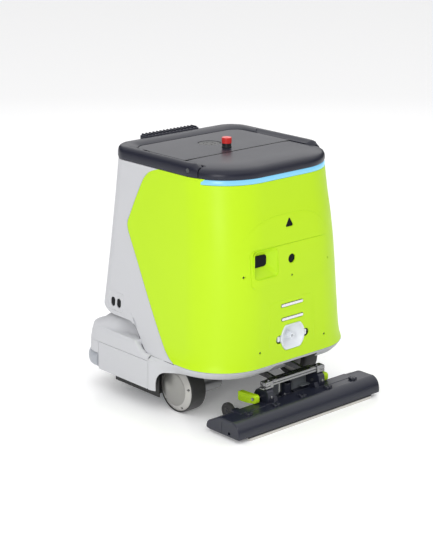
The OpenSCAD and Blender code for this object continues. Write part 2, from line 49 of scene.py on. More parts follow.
def make_camera():
    data = bpy.data.cameras.new("camera")
    data.lens = LENS
    data.sensor_width = SENSOR
    data.sensor_fit = "AUTO"
    data.clip_end = 50.0
    cam = bpy.data.objects.new("camera", data)
    bpy.context.scene.collection.objects.link(cam)
    cam.location = CAMERA_AT
    cam.rotation_euler = (math.pi / 2 - ELEVATION, 0.0, AZIMUTH)
    bpy.context.scene.camera = cam


make_camera()


# ---------------------------------------------------------------- materials
COAT_ROUGH = 0.12
ROUGH_SPREAD = 0.06


def add_node(mat, kind, values=()):
    """Adds a shader node and sets some of its inputs."""
    node = mat.node_tree.nodes.new("ShaderNode" + kind)
    for socket, value in values:
        node.inputs[socket].default_value = value
    return node


def blended_colour(mat, factor, low, high):
    """A colour mix whose ends are colours, or an output for the low end."""
    node = add_node(mat, "Mix")
    node.data_type = "RGBA"
    if isinstance(low, tuple):
        node.inputs["A"].default_value = (*low, 1.0)
    else:
        mat.node_tree.links.new(low, node.inputs["A"])
    node.inputs["B"].default_value = (*high, 1.0)
    mat.node_tree.links.new(factor, node.inputs["Factor"])
    return node.outputs["Result"]


def patch_and_grain(mat, grain, streak):
    """A broad noise for patchy tone, and a fine one that streak can stretch along the surface."""
    link = mat.node_tree.links.new
    source = add_node(mat, "TexCoord").outputs["Object"]
    patch = add_node(mat, "TexNoise", (("Scale", 9.0), ("Detail", 4.0)))
    link(source, patch.inputs["Vector"])
    if streak:
        stretch = add_node(mat, "Mapping", (("Scale", streak),))
        link(source, stretch.inputs["Vector"])
        source = stretch.outputs["Vector"]
    fine = add_node(mat, "TexNoise", (("Scale", grain), ("Detail", 2.0)))
    link(source, fine.inputs["Vector"])
    return patch.outputs["Fac"], fine.outputs["Fac"]


def surface_colour(mat, patch, color, tint, wear):
    """Patchy tone, with lighter colour where edges are worn."""
    dark = tuple(c * (1.0 - tint) for c in color)
    light = tuple(min(1.0, c * (1.0 + tint)) for c in color)
    tone = blended_colour(mat, patch, dark, light)
    ramp = add_node(mat, "MapRange", (("From Min", 0.54), ("From Max", 0.72), ("To Max", wear)))
    mat.node_tree.links.new(add_node(mat, "NewGeometry").outputs["Pointiness"], ramp.inputs["Value"])
    return blended_colour(mat, ramp.outputs["Result"], tone, tuple(min(1.0, c * 1.25 + 0.08) for c in color))


def surface_gloss(mat, patch, fine, rough, spread):
    """Roughness that wanders either side of its middle value with both noises."""
    link = mat.node_tree.links.new
    blend = add_node(mat, "Math")
    blend.operation = "ADD"
    link(patch, blend.inputs[0])
    link(fine, blend.inputs[1])
    half = add_node(mat, "Math", ((1, 0.5),))
    half.operation = "MULTIPLY"
    link(blend.outputs["Value"], half.inputs[0])
    gloss = add_node(mat, "MapRange", (("To Min", max(0.02, rough - spread)),
                                       ("To Max", min(1.0, rough + spread))))
    link(half.outputs["Value"], gloss.inputs["Value"])
    return gloss.outputs["Result"]


def node_material(name, color, rough, metal=0.0, grain=1500.0, grain_depth=0.03, tint=0.05, coat=0.0,
                  wear=0.10, streak=None, emission=None, sheen=0.0, spec=0.5):
    """A moulded, painted or metal surface: fine grain, patchy tone and gloss, lighter worn edges."""
    mat = bpy.data.materials.new(name)
    mat.use_nodes = True
    link = mat.node_tree.links.new
    bsdf = mat.node_tree.nodes["Principled BSDF"]
    for socket, value in (("Metallic", metal), ("Coat Weight", coat), ("Coat Roughness", COAT_ROUGH),
                          ("Sheen Weight", sheen), ("Specular IOR Level", spec)):
        bsdf.inputs[socket].default_value = value
    patch, fine = patch_and_grain(mat, grain, streak)
    link(surface_colour(mat, patch, color, tint, wear), bsdf.inputs["Base Color"])
    link(surface_gloss(mat, patch, fine, rough, ROUGH_SPREAD), bsdf.inputs["Roughness"])
    bump = add_node(mat, "Bump", (("Strength", 1.0), ("Distance", grain_depth * MM)))
    link(fine, bump.inputs["Height"])
    link(bump.outputs["Normal"], bsdf.inputs["Normal"])
    if emission:
        bsdf.inputs["Emission Color"].default_value = (*emission[:3], 1.0)
        bsdf.inputs["Emission Strength"].default_value = emission[3]
    return mat


MATS = {
    "green_shell": node_material("lime_plastic", (0.53, 0.82, 0.014), 0.40, tint=0.012, spec=0.25,
                                 grain_depth=0.006, wear=0.05),
    "grey_shell": node_material("grey_plastic", (0.60, 0.605, 0.63), 0.45, tint=0.012, spec=0.3,
                                grain_depth=0.008, wear=0.05),
    "dark_top": node_material("slate_plastic", (0.018, 0.019, 0.032), 0.33, tint=0.05, spec=0.3,
                              grain_depth=0.008, wear=0.05),
    "lens_black": node_material("smoked_window", (0.004, 0.005, 0.007), 0.2, tint=0.1, spec=0.1,
                                grain_depth=0.001, wear=0.02),
    "black_plastic": node_material("black_plastic", (0.022, 0.023, 0.026), 0.42, tint=0.12,
                                   grain_depth=0.02),
    "contact_metal": node_material("plated_strip", (0.80, 0.78, 0.84), 0.2, metal=0.75, grain=260.0,
                                   streak=(1.0, 30.0, 30.0), grain_depth=0.01),
    "port_plastic": node_material("port_plastic", (0.78, 0.81, 0.85), 0.3, tint=0.03, coat=0.15),
    "trim_dark": node_material("trim_plastic", (0.045, 0.05, 0.058), 0.4, tint=0.08),
    "light_strip": node_material("lit_diffuser", (0.12, 0.25, 0.32), 0.25, tint=0.02, grain_depth=0.002,
                                 emission=(0.15, 0.44, 0.66, 1.0)),
    "stop_red": node_material("red_plastic", (0.86, 0.045, 0.04), 0.3, tint=0.04, coat=0.25,
                              grain_depth=0.004),
    "steel": node_material("machined_steel", (0.52, 0.52, 0.54), 0.34, metal=1.0, grain=500.0,
                           streak=(40.0, 2.0, 2.0), grain_depth=0.01),
    "lift_metal": node_material("extruded_aluminium", (0.30, 0.30, 0.31), 0.27, metal=1.0, grain=700.0,
                                streak=(1.0, 40.0, 40.0), grain_depth=0.012, tint=0.07),
    "bumper_grey": node_material("bumper_plastic", (0.42, 0.44, 0.48), 0.3, tint=0.02, spec=0.4,
                                 grain_depth=0.006),
    "chassis_paint": node_material("powder_coat", (0.028, 0.030, 0.034), 0.5, grain=900.0,
                                   grain_depth=0.05, tint=0.1),
    "tyre_rubber": node_material("tyre_rubber", (0.030, 0.030, 0.031), 0.62, tint=0.15, grain=800.0,
                                 grain_depth=0.06, sheen=0.15, wear=0.2),
    "hub_metal": node_material("satin_hub", (0.52, 0.51, 0.49), 0.40, metal=0.6, grain=420.0,
                               grain_depth=0.01, tint=0.04),
    "bristle": node_material("nylon_bristle", (0.05, 0.09, 0.16), 0.5, tint=0.3, grain=900.0,
                             grain_depth=0.05),
    "skirt_rubber": node_material("sheet_rubber", (0.014, 0.014, 0.015), 0.55, tint=0.15, grain_depth=0.04),
    "board": node_material("controller_case", (0.03, 0.11, 0.06), 0.45, tint=0.12, grain_depth=0.03),
    "tank_plastic": node_material("blown_tank", (0.50, 0.57, 0.63), 0.38, tint=0.05, grain_depth=0.03,
                                  coat=0.1),
    "cap_blue": node_material("blue_cap", (0.035, 0.13, 0.46), 0.38, tint=0.07, grain_depth=0.03),
    "blade_rubber": node_material("gum_rubber", (0.60, 0.58, 0.54), 0.5, tint=0.08, grain_depth=0.03,
                                  sheen=0.1),
}
# Darker copy of the hub metal for the middle cover disc: painted shade, the disc drawn darker than the bevel
# ring round it as if it caught less light
HUB_DISC_SHADED = node_material("hub_disc_painted_shade", (0.32, 0.315, 0.30), 0.30, metal=0.7, grain=420.0,
                         grain_depth=0.01, tint=0.04)
SQUEEGEE = node_material("squeegee_plastic", (0.016, 0.018, 0.032), 0.30, tint=0.05, spec=0.5,
                         grain_depth=0.008, wear=0.08)
GASKET = node_material("seam_gasket", (0.30, 0.28, 0.46), 0.5, tint=0.04, grain_depth=0.004)
# Near-black bead for under the front shell's lower edge: painted shadow cast by the overhanging shell
SHELL_SHADOW_LINE = node_material("painted_shadow_line", (0.10, 0.10, 0.12), 0.6, tint=0.04, grain_depth=0.004)
PANEL_PALE = node_material("clear_guard", (0.20, 0.215, 0.235), 0.22, tint=0.04, grain_depth=0.004)


# ---------------------------------------------------------------- mesh tools
def curve_table(points):
    """A smooth function through (x, value) points that never overshoots between them."""
    xs = [p[0] for p in points]
    ys = [p[1] for p in points]
    count = len(xs)
    slopes = [(ys[i + 1] - ys[i]) / (xs[i + 1] - xs[i]) for i in range(count - 1)]
    tangents = [slopes[0]]
    for i in range(1, count - 1):
        a, b = slopes[i - 1], slopes[i]
        tangents.append(0.0 if a * b <= 0.0 else 2.0 * a * b / (a + b))
    tangents.append(slopes[-1])

    def value(x):
        if x <= xs[0]:
            return ys[0] + tangents[0] * (x - xs[0])
        if x >= xs[-1]:
            return ys[-1] + tangents[-1] * (x - xs[-1])
        i = max(k for k in range(count - 1) if xs[k] <= x)
        h = xs[i + 1] - xs[i]
        t = (x - xs[i]) / h
        return ((2 * t ** 3 - 3 * t ** 2 + 1) * ys[i] + (t ** 3 - 2 * t ** 2 + t) * h * tangents[i]
                + (3 * t ** 2 - 2 * t ** 3) * ys[i + 1] + (t ** 3 - t ** 2) * h * tangents[i + 1])

    return value


def lerp(a, b, t):
    return a + (b - a) * t


def clamp(x, lo=0.0, hi=1.0):
    return max(lo, min(hi, x))


def smooth(t):
    t = clamp(t)
    return t * t * (3 - 2 * t)


def make_object(name, verts, faces):
    """Vertices in millimetres."""
    mesh = bpy.data.meshes.new(name)
    mesh.from_pydata([(x * MM, y * MM, z * MM) for x, y, z in verts], [], faces)
    obj = bpy.data.objects.new(name, mesh)
    bpy.context.scene.collection.objects.link(obj)
    return obj


def clean(obj, outward_from=None):
    """Merges doubled points and turns the faces outwards, away from a middle point if one is given."""
    bm = bmesh.new()
    bm.from_mesh(obj.data)
    bmesh.ops.remove_doubles(bm, verts=bm.verts, dist=1e-6)
    bmesh.ops.dissolve_degenerate(bm, edges=bm.edges, dist=1e-7)
    bmesh.ops.recalc_face_normals(bm, faces=bm.faces)
    if outward_from is not None:
        middle = Vector(outward_from) * MM
        facing = sum(f.normal.dot(f.calc_center_median() - middle) * f.calc_area() for f in bm.faces)
        if facing < 0:
            bmesh.ops.reverse_faces(bm, faces=bm.faces)
    bm.to_mesh(obj.data)
    bm.free()
    return obj


def grid(name, point, nu, nv, close_u=False, close_v=False, caps=False):
    """A sheet of quads: point(i, j) gives each corner. close_u joins the last column to the first."""
    verts = [point(i, j) for i in range(nu) for j in range(nv)]
    faces = []
    for i in range(nu if close_u else nu - 1):
        for j in range(nv if close_v else nv - 1):
            a, b = i, (i + 1) % nu
            c, d = j, (j + 1) % nv
            faces.append((a * nv + c, b * nv + c, b * nv + d, a * nv + d))
    if caps and close_v:
        faces.append(tuple(range(nv - 1, -1, -1)))
        faces.append(tuple((nu - 1) * nv + j for j in range(nv)))
    if caps and close_u:
        faces.append(tuple(i * nv for i in range(nu)))
        faces.append(tuple(i * nv + nv - 1 for i in range(nu - 1, -1, -1)))
    return make_object(name, verts, faces)


def bake(obj):
    """Applies the modifiers."""
    graph = bpy.context.evaluated_depsgraph_get()
    mesh = bpy.data.meshes.new_from_object(obj.evaluated_get(graph))
    obj.modifiers.clear()
    obj.data = mesh
    return obj


def thicken(obj, depth):
    mod = obj.modifiers.new("wall", "SOLIDIFY")
    mod.thickness = depth * MM
    mod.offset = -1.0
    return bake(obj)


def round_edges(obj, width, segments=2, angle=38.0):
    mod = obj.modifiers.new("edge", "BEVEL")
    mod.width = width * MM
    mod.segments = segments
    mod.limit_method = "ANGLE"
    mod.angle_limit = math.radians(angle)
    mod.harden_normals = False
    return bake(obj)


def cut(obj, cutters, operation="DIFFERENCE"):
    for tool in cutters:
        mod = obj.modifiers.new("cut", "BOOLEAN")
        mod.operation = operation
        mod.solver = "EXACT"
        mod.object = tool
    bake(obj)
    for tool in cutters:
        bpy.data.objects.remove(tool)
    return obj


def finish_piece(obj, body, slot, replaces=(), material=None, sharp=32.0):
    """Shading, material, body and bookkeeping, the same for every piece."""
    mesh = obj.data
    mesh.materials.clear()
    mesh.materials.append(material or MATS[slot])
    for poly in mesh.polygons:
        poly.material_index = 0
        poly.use_smooth = True
    mesh.set_sharp_from_angle(angle=math.radians(sharp))
    weighted = obj.modifiers.new("normals", "WEIGHTED_NORMAL")
    weighted.keep_sharp = True
    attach(obj, body)
    if replaces:
        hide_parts(*replaces)
    return obj


def outline_round_rect(half_a, half_b, r, steps=8, centre=(0.0, 0.0)):
    """Counter-clockwise rounded rectangle in a plane."""
    pts = []
    for k, (sa, sb) in enumerate(((1, 1), (-1, 1), (-1, -1), (1, -1))):
        for i in range(steps + 1):
            ang = math.pi / 2 * (k + i / steps)
            pts.append((centre[0] + sa * (half_a - r) + r * math.cos(ang),
                        centre[1] + sb * (half_b - r) + r * math.sin(ang)))
    return pts


def outline_circle(r, steps=48, centre=(0.0, 0.0)):
    return [(centre[0] + r * math.cos(2 * math.pi * i / steps),
             centre[1] + r * math.sin(2 * math.pi * i / steps))
            for i in range(steps)]


def disc_at(r, steps, centre):
    """A circle that can be drawn in by an inset."""
    return lambda inset: outline_circle(r - inset, steps, centre)


def rect_at(half_a, half_b, r, steps, centre):
    """A rounded rectangle that can be drawn in by an inset."""
    return lambda inset: outline_round_rect(half_a - inset, half_b - inset, r - inset, steps, centre)


def place(axis, a, b, depth):
    """Turns outline coordinates and a depth into x, y, z for an outline that faces along an axis."""
    return {"x": (depth, a, b), "y": (a, depth, b), "z": (a, b, depth)}[axis]


def layered(name, axis, rings, close=True):
    """A solid through a stack of outlines with equal point counts: rings are (outline, depth)."""
    count = len(rings[0][0])
    verts = [place(axis, a, b, depth) for outline, depth in rings for a, b in outline]
    faces = []
    for k in range(len(rings) - 1):
        for i in range(count):
            j = (i + 1) % count
            faces.append((k * count + i, k * count + j, (k + 1) * count + j, (k + 1) * count + i))
    if close:
        faces.append(tuple(range(count - 1, -1, -1)))
        faces.append(tuple((len(rings) - 1) * count + i for i in range(count)))
    return clean(make_object(name, verts, faces))


def prism(name, axis, outline, lo, hi):
    return layered(name, axis, [(outline, lo), (outline, hi)])


def soft_prism(name, axis, outline_at, lo, hi, r, steps=4):
    """A prism whose end edges are rounded: outline_at(inset) gives the outline drawn in by inset."""
    rings = []
    for i in range(steps + 1):
        ang = math.pi / 2 * i / steps
        rings.append((outline_at(r * (1 - math.sin(ang))), lo + r * (1 - math.cos(ang))))
    for i in range(steps + 1):
        ang = math.pi / 2 * (1 - i / steps)
        rings.append((outline_at(r * (1 - math.sin(ang))), hi - r * (1 - math.cos(ang))))
    return layered(name, axis, rings)


def soft_box(name, lo, hi, r, corner=None, axis="z"):
    """A box with all its edges rounded."""
    order = {"x": (1, 2, 0), "y": (0, 2, 1), "z": (0, 1, 2)}[axis]
    a, b, c = order
    half = ((hi[a] - lo[a]) / 2, (hi[b] - lo[b]) / 2)
    mid = ((hi[a] + lo[a]) / 2, (hi[b] + lo[b]) / 2)
    corner = corner or r * 1.5

    def at(inset):
        return outline_round_rect(half[0] - inset, half[1] - inset, max(corner - inset, 0.3), 5, mid)

    return soft_prism(name, axis, at, lo[c], hi[c], r)


def lathe(name, axis, centre, profile, steps=96):
    """Turns a (radius, position along the axis) profile about an axis through centre."""
    def point(i, j):
        ang = 2 * math.pi * i / steps
        r, t = profile[j]
        a, b = r * math.cos(ang), r * math.sin(ang)
        x, y, z = {"x": (t, a, b), "y": (a, t, b), "z": (a, b, t)}[axis]
        return (centre[0] + x, centre[1] + y, centre[2] + z)

    return clean(grid(name, point, steps, len(profile), close_u=True))


def side_box(name, sign, across, low, high, *rounding):
    """A soft box on one side, between two distances from the middle and two (y, z) corners."""
    x0, x1 = sorted(sign * v for v in across)
    return soft_box(name, (x0, *low), (x1, *high), *rounding)


def side_rod(name, sign, across, centre, r, steps=32):
    """A rod along X through the (y, z) centre, between two distances from the middle."""
    x0, x1 = sorted(sign * v for v in across)
    return lathe(name, "x", (0, *centre), [(0.0, x0), (r, x0), (r, x1), (0.0, x1)], steps)


def both_ways(i, count):
    """The side (-1, then 1) of column i, and its share of the way to the middle of the front."""
    q = 2 * i / (count - 1)
    return (-1, q) if q < 1 else (1, 2 - q)


def face_rear(obj):
    """Turns an open dish so that its faces look to the rear."""
    bm = bmesh.new()
    bm.from_mesh(obj.data)
    if sum(f.normal.y * f.calc_area() for f in bm.faces) > 0:
        bmesh.ops.reverse_faces(bm, faces=bm.faces)
    bm.to_mesh(obj.data)
    bm.free()


def tube(name, path, radius, sides=10, closed=False, up=(0.0, 1.0, 0.0)):
    """A round rod along a path of points that lie roughly in the plane across up."""
    pts = [Vector(p) for p in path]
    count = len(pts)
    rings = []
    up = Vector(up)
    for i, p in enumerate(pts):
        ahead = pts[(i + 1) % count] if closed or i < count - 1 else p
        behind = pts[i - 1] if closed or i > 0 else p
        along = (ahead - behind).normalized()
        side = along.cross(up).normalized()
        other = along.cross(side).normalized()
        rings.append([p + radius * (math.cos(a) * side + math.sin(a) * other)
                      for a in (2 * math.pi * k / sides for k in range(sides))])
    return clean(grid(name, lambda i, j: tuple(rings[i][j]), count, sides,
                      close_u=closed, close_v=True, caps=not closed))


def join(name, objs):
    """Joins meshes into one object."""
    bm = bmesh.new()
    for obj in objs:
        part = bmesh.new()
        part.from_mesh(obj.data)
        temp = bpy.data.meshes.new("part")
        part.to_mesh(temp)
        part.free()
        bm.from_mesh(temp)
        bpy.data.meshes.remove(temp)
        bpy.data.objects.remove(obj)
    mesh = bpy.data.meshes.new(name)
    bm.to_mesh(mesh)
    bm.free()
    out = bpy.data.objects.new(name, mesh)
    bpy.context.scene.collection.objects.link(out)
    return out


# ---------------------------------------------------------------- body surface
HALF_W = curve_table([(136, 263.5), (150, 262), (162, 257.5), (190, 252.5), (270, 246.5), (460, 234),
                      (640, 222), (670, 220.5)])
REAR_Y = curve_table([(136, -242), (150, -241), (190, -239), (270, -236), (420, -230), (510, -221),
                      (560, -213.5), (640, -205), (670, -203)])
FRONT_Y = curve_table([(136, 264), (231, 275), (270, 271), (459, 251), (650, 236), (670, 235)])
REAR_R = 140.0
FRONT_R = 60.0
# Nominal lengths along half of the outline: rear flat, rear corner, side, front corner, front flat
RUN = (112.0, 220.0, 276.0, 94.0, 172.0)
RUN_END = sum(RUN)


def plan_point(u, w, rear, front, rear_r, front_r):
    """Half outline of a rounded rectangle, from the rear centre (0) to the front centre (5)."""
    seg = min(4, int(u))
    t = u - seg
    if seg == 0:
        return t * (w - rear_r), rear
    if seg == 1:
        a = t * math.pi / 2
        return w - rear_r + rear_r * math.sin(a), rear + rear_r * (1 - math.cos(a))
    if seg == 2:
        return w, lerp(rear + rear_r, front - front_r, t)
    if seg == 3:
        a = t * math.pi / 2
        return w - front_r * (1 - math.cos(a)), front - front_r * (1 - math.sin(a))
    return lerp(w - front_r, 0.0, t), front


def run_to_u(s):
    for k, length in enumerate(RUN):
        if s <= length or k == 4:
            return k + min(1.0, s / length)
        s -= length
    return 5.0


def wall_point(s, z, out=0.0):
    """A point on the body skin: s runs along the outline, negative on the left."""
    x, y = plan_point(run_to_u(abs(s)), HALF_W(z) + out, REAR_Y(z) - out, FRONT_Y(z) + out, REAR_R + out,
                      FRONT_R + out)
    return (math.copysign(x, s) if s else 0.0, y, z)


def side_run(y, z):
    """Distance along the outline of a point on the flat of the side."""
    a = REAR_Y(z) + REAR_R
    b = FRONT_Y(z) - FRONT_R
    return RUN[0] + RUN[1] + RUN[2] * (y - a) / (b - a)


def rear_surface(x, z):
    """y of the skin at the rear, for a place seen from behind."""
    flat = HALF_W(z) - REAR_R
    over = max(0.0, abs(x) - flat)
    return REAR_Y(z) + REAR_R - math.sqrt(max(0.0, REAR_R ** 2 - over ** 2))


PARTING = curve_table([(146, -76), (150, -62), (156, -48), (165, -34), (176, -22), (215, 6), (297, 55.5),
                       (388, 107), (442, 138), (458, 146.5), (467, 150.2), (475, 151.5), (483, 150.4),
                       (492, 146.5), (558, 117.5), (592, 100.5), (608, 91), (619, 81), (628, 68),
                       (634, 54), (640, 34)])
SHELL_EDGE = curve_table([(-90, 147.3), (5, 147.8), (24, 148.2), (40, 150), (52, 154), (62, 160.5),
                          (73, 171), (85, 187), (95, 200), (106, 209.5), (118, 215), (130, 217),
                          (190, 217.5), (212, 221), (232, 229.5), (244, 233), (276, 233.5)])
COVER_BOTTOM = 148.3
STRIP_BOTTOM = 625.0
COVER_TOP = 639.6
STRIP_END = 285.0


def cover_top(s):
    return lerp(STRIP_BOTTOM, COVER_TOP, smooth((abs(s) - STRIP_END + 7) / 14))


def flared(name, axis, outline_at, surface, deep, lip=1.2, proud=8.0):
    """A cutter with a rounded mouth: wide outside the surface, narrowing over the lip, then straight in.
    The cut goes towards +Y from a rear surface."""
    rings = [(outline_at(-lip - 0.01), surface - proud), (outline_at(-lip), surface - 0.02),
             (outline_at(-lip * 0.45), surface + lip * 0.35), (outline_at(-lip * 0.1), surface + lip * 0.8),
             (outline_at(0.0), surface + lip * 1.3), (outline_at(0.0), surface + deep)]
    return layered(name, axis, rings)


def stadium(half_w, half_h, centre):
    def at(inset):
        return outline_round_rect(half_w - inset, half_h - inset, half_h - inset - 0.01, 8, centre)
    return at


def triangle_outline(side, r, centre, steps=5):
    """An upright triangle with round corners."""
    def at(inset):
        pts = []
        reach = side / math.sqrt(3) - 2 * r
        for k in range(3):
            mid = math.pi / 2 + k * 2 * math.pi / 3
            for i in range(steps + 1):
                ang = mid - math.pi / 3 + 2 * math.pi / 3 * i / steps
                pts.append((centre[0] + reach * math.cos(mid) + (r - inset) * math.cos(ang),
                            centre[1] + reach * math.sin(mid) + (r - inset) * math.sin(ang)))
        return pts
    return at


PANEL_HALF_W = 135.0
PANEL_Z = (360.0, 458.0)
PANEL_PROUD = 1.5
TRAY = (-130.0, -50.0, 383.0, 456.0)
TRAY_FLOOR = (-96.0, 423.5)
EYE = (0.0, 418.0)
PANEL_SCREW = (0, 374)
COVER_WALL = 3.0
SEAM = 0.4
PORT_Z = 210.0
CONTACT_Z = (297.4, 260.4)
SCREWS = ((-156, 394), (134, 393), (-116, 189), (116, 189))
TRIANGLE = (0.0, 509.0)
EYES_Y = (174.0, 198.5)
EYES_Z = 252.0
# Lines round the windows and the side panel: (y, z) centre, half length, half height, corner
SIDE_OUTLINES = (((187, 255), 30, 26, 9), ((100, 255), 34, 27, 9))


def panel_outline(inset):
    mid = (PANEL_Z[0] + PANEL_Z[1]) / 2
    return outline_round_rect(PANEL_HALF_W - inset, (PANEL_Z[1] - PANEL_Z[0]) / 2 - inset,
                              max(1.0, 15.0 - inset), 8, (-3.0, mid))


def groove_path(points, out=0.15):
    """Lifts (x, z) points onto the rear skin."""
    return [(x, rear_surface(x, z) - out, z) for x, z in points]


def arch_points():
    pts = []
    left, right, top, foot_l, foot_r = -152.0, 139.0, 536.0, 486.0, 474.0
    steps = 28
    for i in range(steps + 1):
        t = i / steps
        x = lerp(left, right, t)
        rise = 1 - abs(2 * t - 1) ** 3.1
        foot = lerp(foot_l, foot_r, t)
        pts.append((x, lerp(foot, top, rise ** 0.8 if rise > 0 else 0)))
    return pts


def dock_outline_points():
    return [(-83, 176), (-83, 296), (-82, 304), (-77, 310), (-70, 313), (0, 313), (66, 313), (73, 310),
            (78, 304), (79, 296), (79, 176)]


def build_rear_cover():
    nu, nv = 190, 110

    def point(i, j):
        t = -1 + 2 * i / (nu - 1)
        z = lerp(COVER_BOTTOM, STRIP_BOTTOM, j / (nv - 1))
        for _ in range(3):
            s = t * (side_run(PARTING(z), z) - SEAM)
            z = lerp(COVER_BOTTOM, cover_top(s), j / (nv - 1))
        s = t * (side_run(PARTING(z), z) - SEAM)
        return wall_point(s, z)

    cover = clean(grid("rear_cover_skin", point, nu, nv), (0, 0, 380))
    thicken(cover, COVER_WALL)
    round_edges(cover, 1.1, 3)
    tools = [prism("t", "y", panel_outline(-0.35), -250, -200)]
    face = rear_surface(0, PORT_Z)
    tools.append(flared("t", "y", port_outline, face, 30))
    tools.append(flared("t", "y", stadium(59, 11, (0, 209)), face, 30))
    for z in CONTACT_Z:
        tools.append(flared("t", "y", stadium(40, 5.0, (0, z)), rear_surface(0, z), 20, lip=1.0))
    tools.append(flared("t", "y", triangle_outline(30, 3.2, TRIANGLE), rear_surface(0, TRIANGLE[1]), 20))
    for x, z in SCREWS:
        tools.append(flared("t", "y", disc_at(3.4, 20, (x, z)), rear_surface(x, z), 14, lip=0.7))
    tools.append(tube("t", groove_path(arch_points(), 0.35), 0.9, 8))
    tools.append(tube("t", groove_path(dock_outline_points(), 0.45), 0.8, 8))
    cut(cover, tools)
    finish_piece(cover, "frame", "green_shell", ["rear_cover"])


def port_outline(inset):
    """Circle with flats above and below."""
    pts = []
    r = 42.6 - inset
    flat = 34.2 - inset
    steps = 72
    for i in range(steps):
        a = 2 * math.pi * i / steps
        x, z = r * math.cos(a), r * math.sin(a)
        k = min(1.0, flat / abs(z)) if z else 1.0
        pts.append((x * (0.25 + 0.75 * k) if k < 1 else x, PORT_Z + z * k))
    return pts


def build_rear_panel():
    """Service panel, proud of the cover by PANEL_PROUD, with the sunk tray for the side-looking sensor."""
    nu, nv = 80, 24

    def point(i, j):
        x, z = lerp(-146, 140, i / (nu - 1)), lerp(355, 463, j / (nv - 1))
        return (x, rear_surface(x, z) - PANEL_PROUD, z)

    panel = clean(grid("rear_service_panel", point, nu, nv), (0, -100, 409))
    thicken(panel, 4.2)
    cut(panel, [prism("t", "y", panel_outline(0.0), -260, -190)], "INTERSECT")
    round_edges(panel, 1.3, 3, 50)
    x0, x1, z0, z1 = TRAY
    mid = ((x0 + x1) / 2, (z0 + z1) / 2)
    y = rear_surface(mid[0], mid[1]) - 1.5

    def mouth(inset):
        return outline_round_rect((x1 - x0) / 2 - inset, (z1 - z0) / 2 - inset, 11 - inset, 8, mid)

    tools = [flared("t", "y", mouth, y + 1.0, 40, lip=1.6),
             flared("t", "y", disc_at(12.2, 40, EYE), rear_surface(*EYE) - 1.5, 30),
             flared("t", "y", disc_at(3.2, 20, PANEL_SCREW), rear_surface(*PANEL_SCREW) - 1.5,
                    20, lip=0.7)]
    cut(panel, tools)
    tray = tray_shell(mid, y, mouth)
    piece = join("rear_service_panel", [panel, tray])
    finish_piece(piece, "frame", "green_shell", ["rear_panel"])
    window = soft_prism("tray_window", "y", rect_at(24.5, 15.5, 9, 6, TRAY_FLOOR), y + 20.5, y + 26, 0.8)
    finish_piece(window, "frame", "lens_black", ["sensor_window"])


def tray_shell(mid, y, mouth):

    def ring(t, inset=0.0):
        a = mouth(0.3)
        b = outline_round_rect(25 - inset, 16 - inset, 9, 8, TRAY_FLOOR)
        return [(lerp(p[0], q[0], t), lerp(p[1], q[1], t)) for p, q in zip(a, b)]

    rings = [(ring(0.0), y + 0.8), (ring(0.05), y + 3.2), (ring(0.25), y + 8.5), (ring(0.55), y + 14.5),
             (ring(0.85), y + 19.5), (ring(1.0), y + 22.0), (ring(1.0, 1.5), y + 22.6)]
    tray = layered("tray", "y", rings, close=False)
    clean(tray, (mid[0], -100, mid[1]))
    face_rear(tray)
    return thicken(tray, 1.6)


def build_front_shell():
    nu, nv = 230, 90

    z_foot = COVER_BOTTOM - SEAM
    s_foot = side_run(PARTING(z_foot), z_foot) + SEAM

    def point(i, j):
        sign, t = both_ways(i, nu)
        t = smooth(t) * 0.3 + t * 0.7
        s_low = lerp(s_foot, RUN_END, t)
        z_low = max(z_foot, SHELL_EDGE(wall_point(s_low, 200)[1]))
        z = lerp(z_low, COVER_TOP, (j / (nv - 1)) ** 1.25)
        shift = s_low - lerp(side_run(PARTING(z_low), z_low) + SEAM, RUN_END, t)
        s = lerp(side_run(PARTING(z), z) + SEAM, RUN_END, t) + shift * (1 - smooth((z - z_low) / 190))
        x, y, z = wall_point(s, z)
        return (x * sign, y, z)

    shell = clean(grid("front_shell_skin", point, nu, nv), (0, 0, 380))
    thicken(shell, COVER_WALL)
    round_edges(shell, 1.2, 3)
    tools = [soft_box("t", (-103, 200, 529), (103, 300, 589), 1.0)]
    for y in EYES_Y:
        tools.append(prism("t", "x", outline_round_rect(8.8, 13.0, 8.7, 8, (y, EYES_Z)), -300, 300))
    tools.append(prism("t", "x", outline_circle(2.0, 16, (190, 230)), -300, -200))
    for sign in (-1, 1):
        for centre, half_a, half_b, r in SIDE_OUTLINES:
            outline = outline_round_rect(half_a, half_b, r, 6, centre)
            path = [(sign * (HALF_W(z) + 0.35), y, z) for y, z in outline]
            tools.append(tube("t", path, 1.25, 8, closed=True, up=(1.0, 0.0, 0.0)))
    cut(shell, tools)
    finish_piece(shell, "frame", "grey_shell", ["front_shell"])


def build_sensor_lenses():
    parts = [soft_prism("p", "y", disc_at(11.9, 40, EYE), rear_surface(*EYE) + 1.6, rear_surface(*EYE) + 6,
                        0.6),
             lathe("p", "y", (0, rear_surface(*EYE), EYE[1]),
                   [(0.0, 1.2), (4.0, 1.3), (5.2, 1.7), (5.4, 2.4), (5.4, 4), (0.0, 4)], 40),
             soft_prism("p", "y", triangle_outline(29.0, 3.0, TRIANGLE),
                        rear_surface(0, TRIANGLE[1]) + 1.6, rear_surface(0, TRIANGLE[1]) + 6, 0.5)]
    for sign in (-1, 1):
        for y in EYES_Y:
            w = HALF_W(EYES_Z)
            lo, hi = sorted((sign * (w - 0.6), sign * (w - 6)))
            parts.append(soft_prism("p", "x", rect_at(8.3, 12.5, 8.1, 8, (y, EYES_Z)), lo, hi, 0.9))
    finish_piece(join("smoked_windows", parts), "frame", "lens_black", ["sensor_lenses"])


def build_contacts():
    parts = []
    for z in CONTACT_Z:
        y = rear_surface(0, z)
        parts.append(soft_prism("p", "y", stadium(38.6, 3.7, (0, z)), y - 0.9, y + 8, 0.9))
    finish_piece(join("charging_strips", parts), "frame", "contact_metal", ["charge_contacts"])


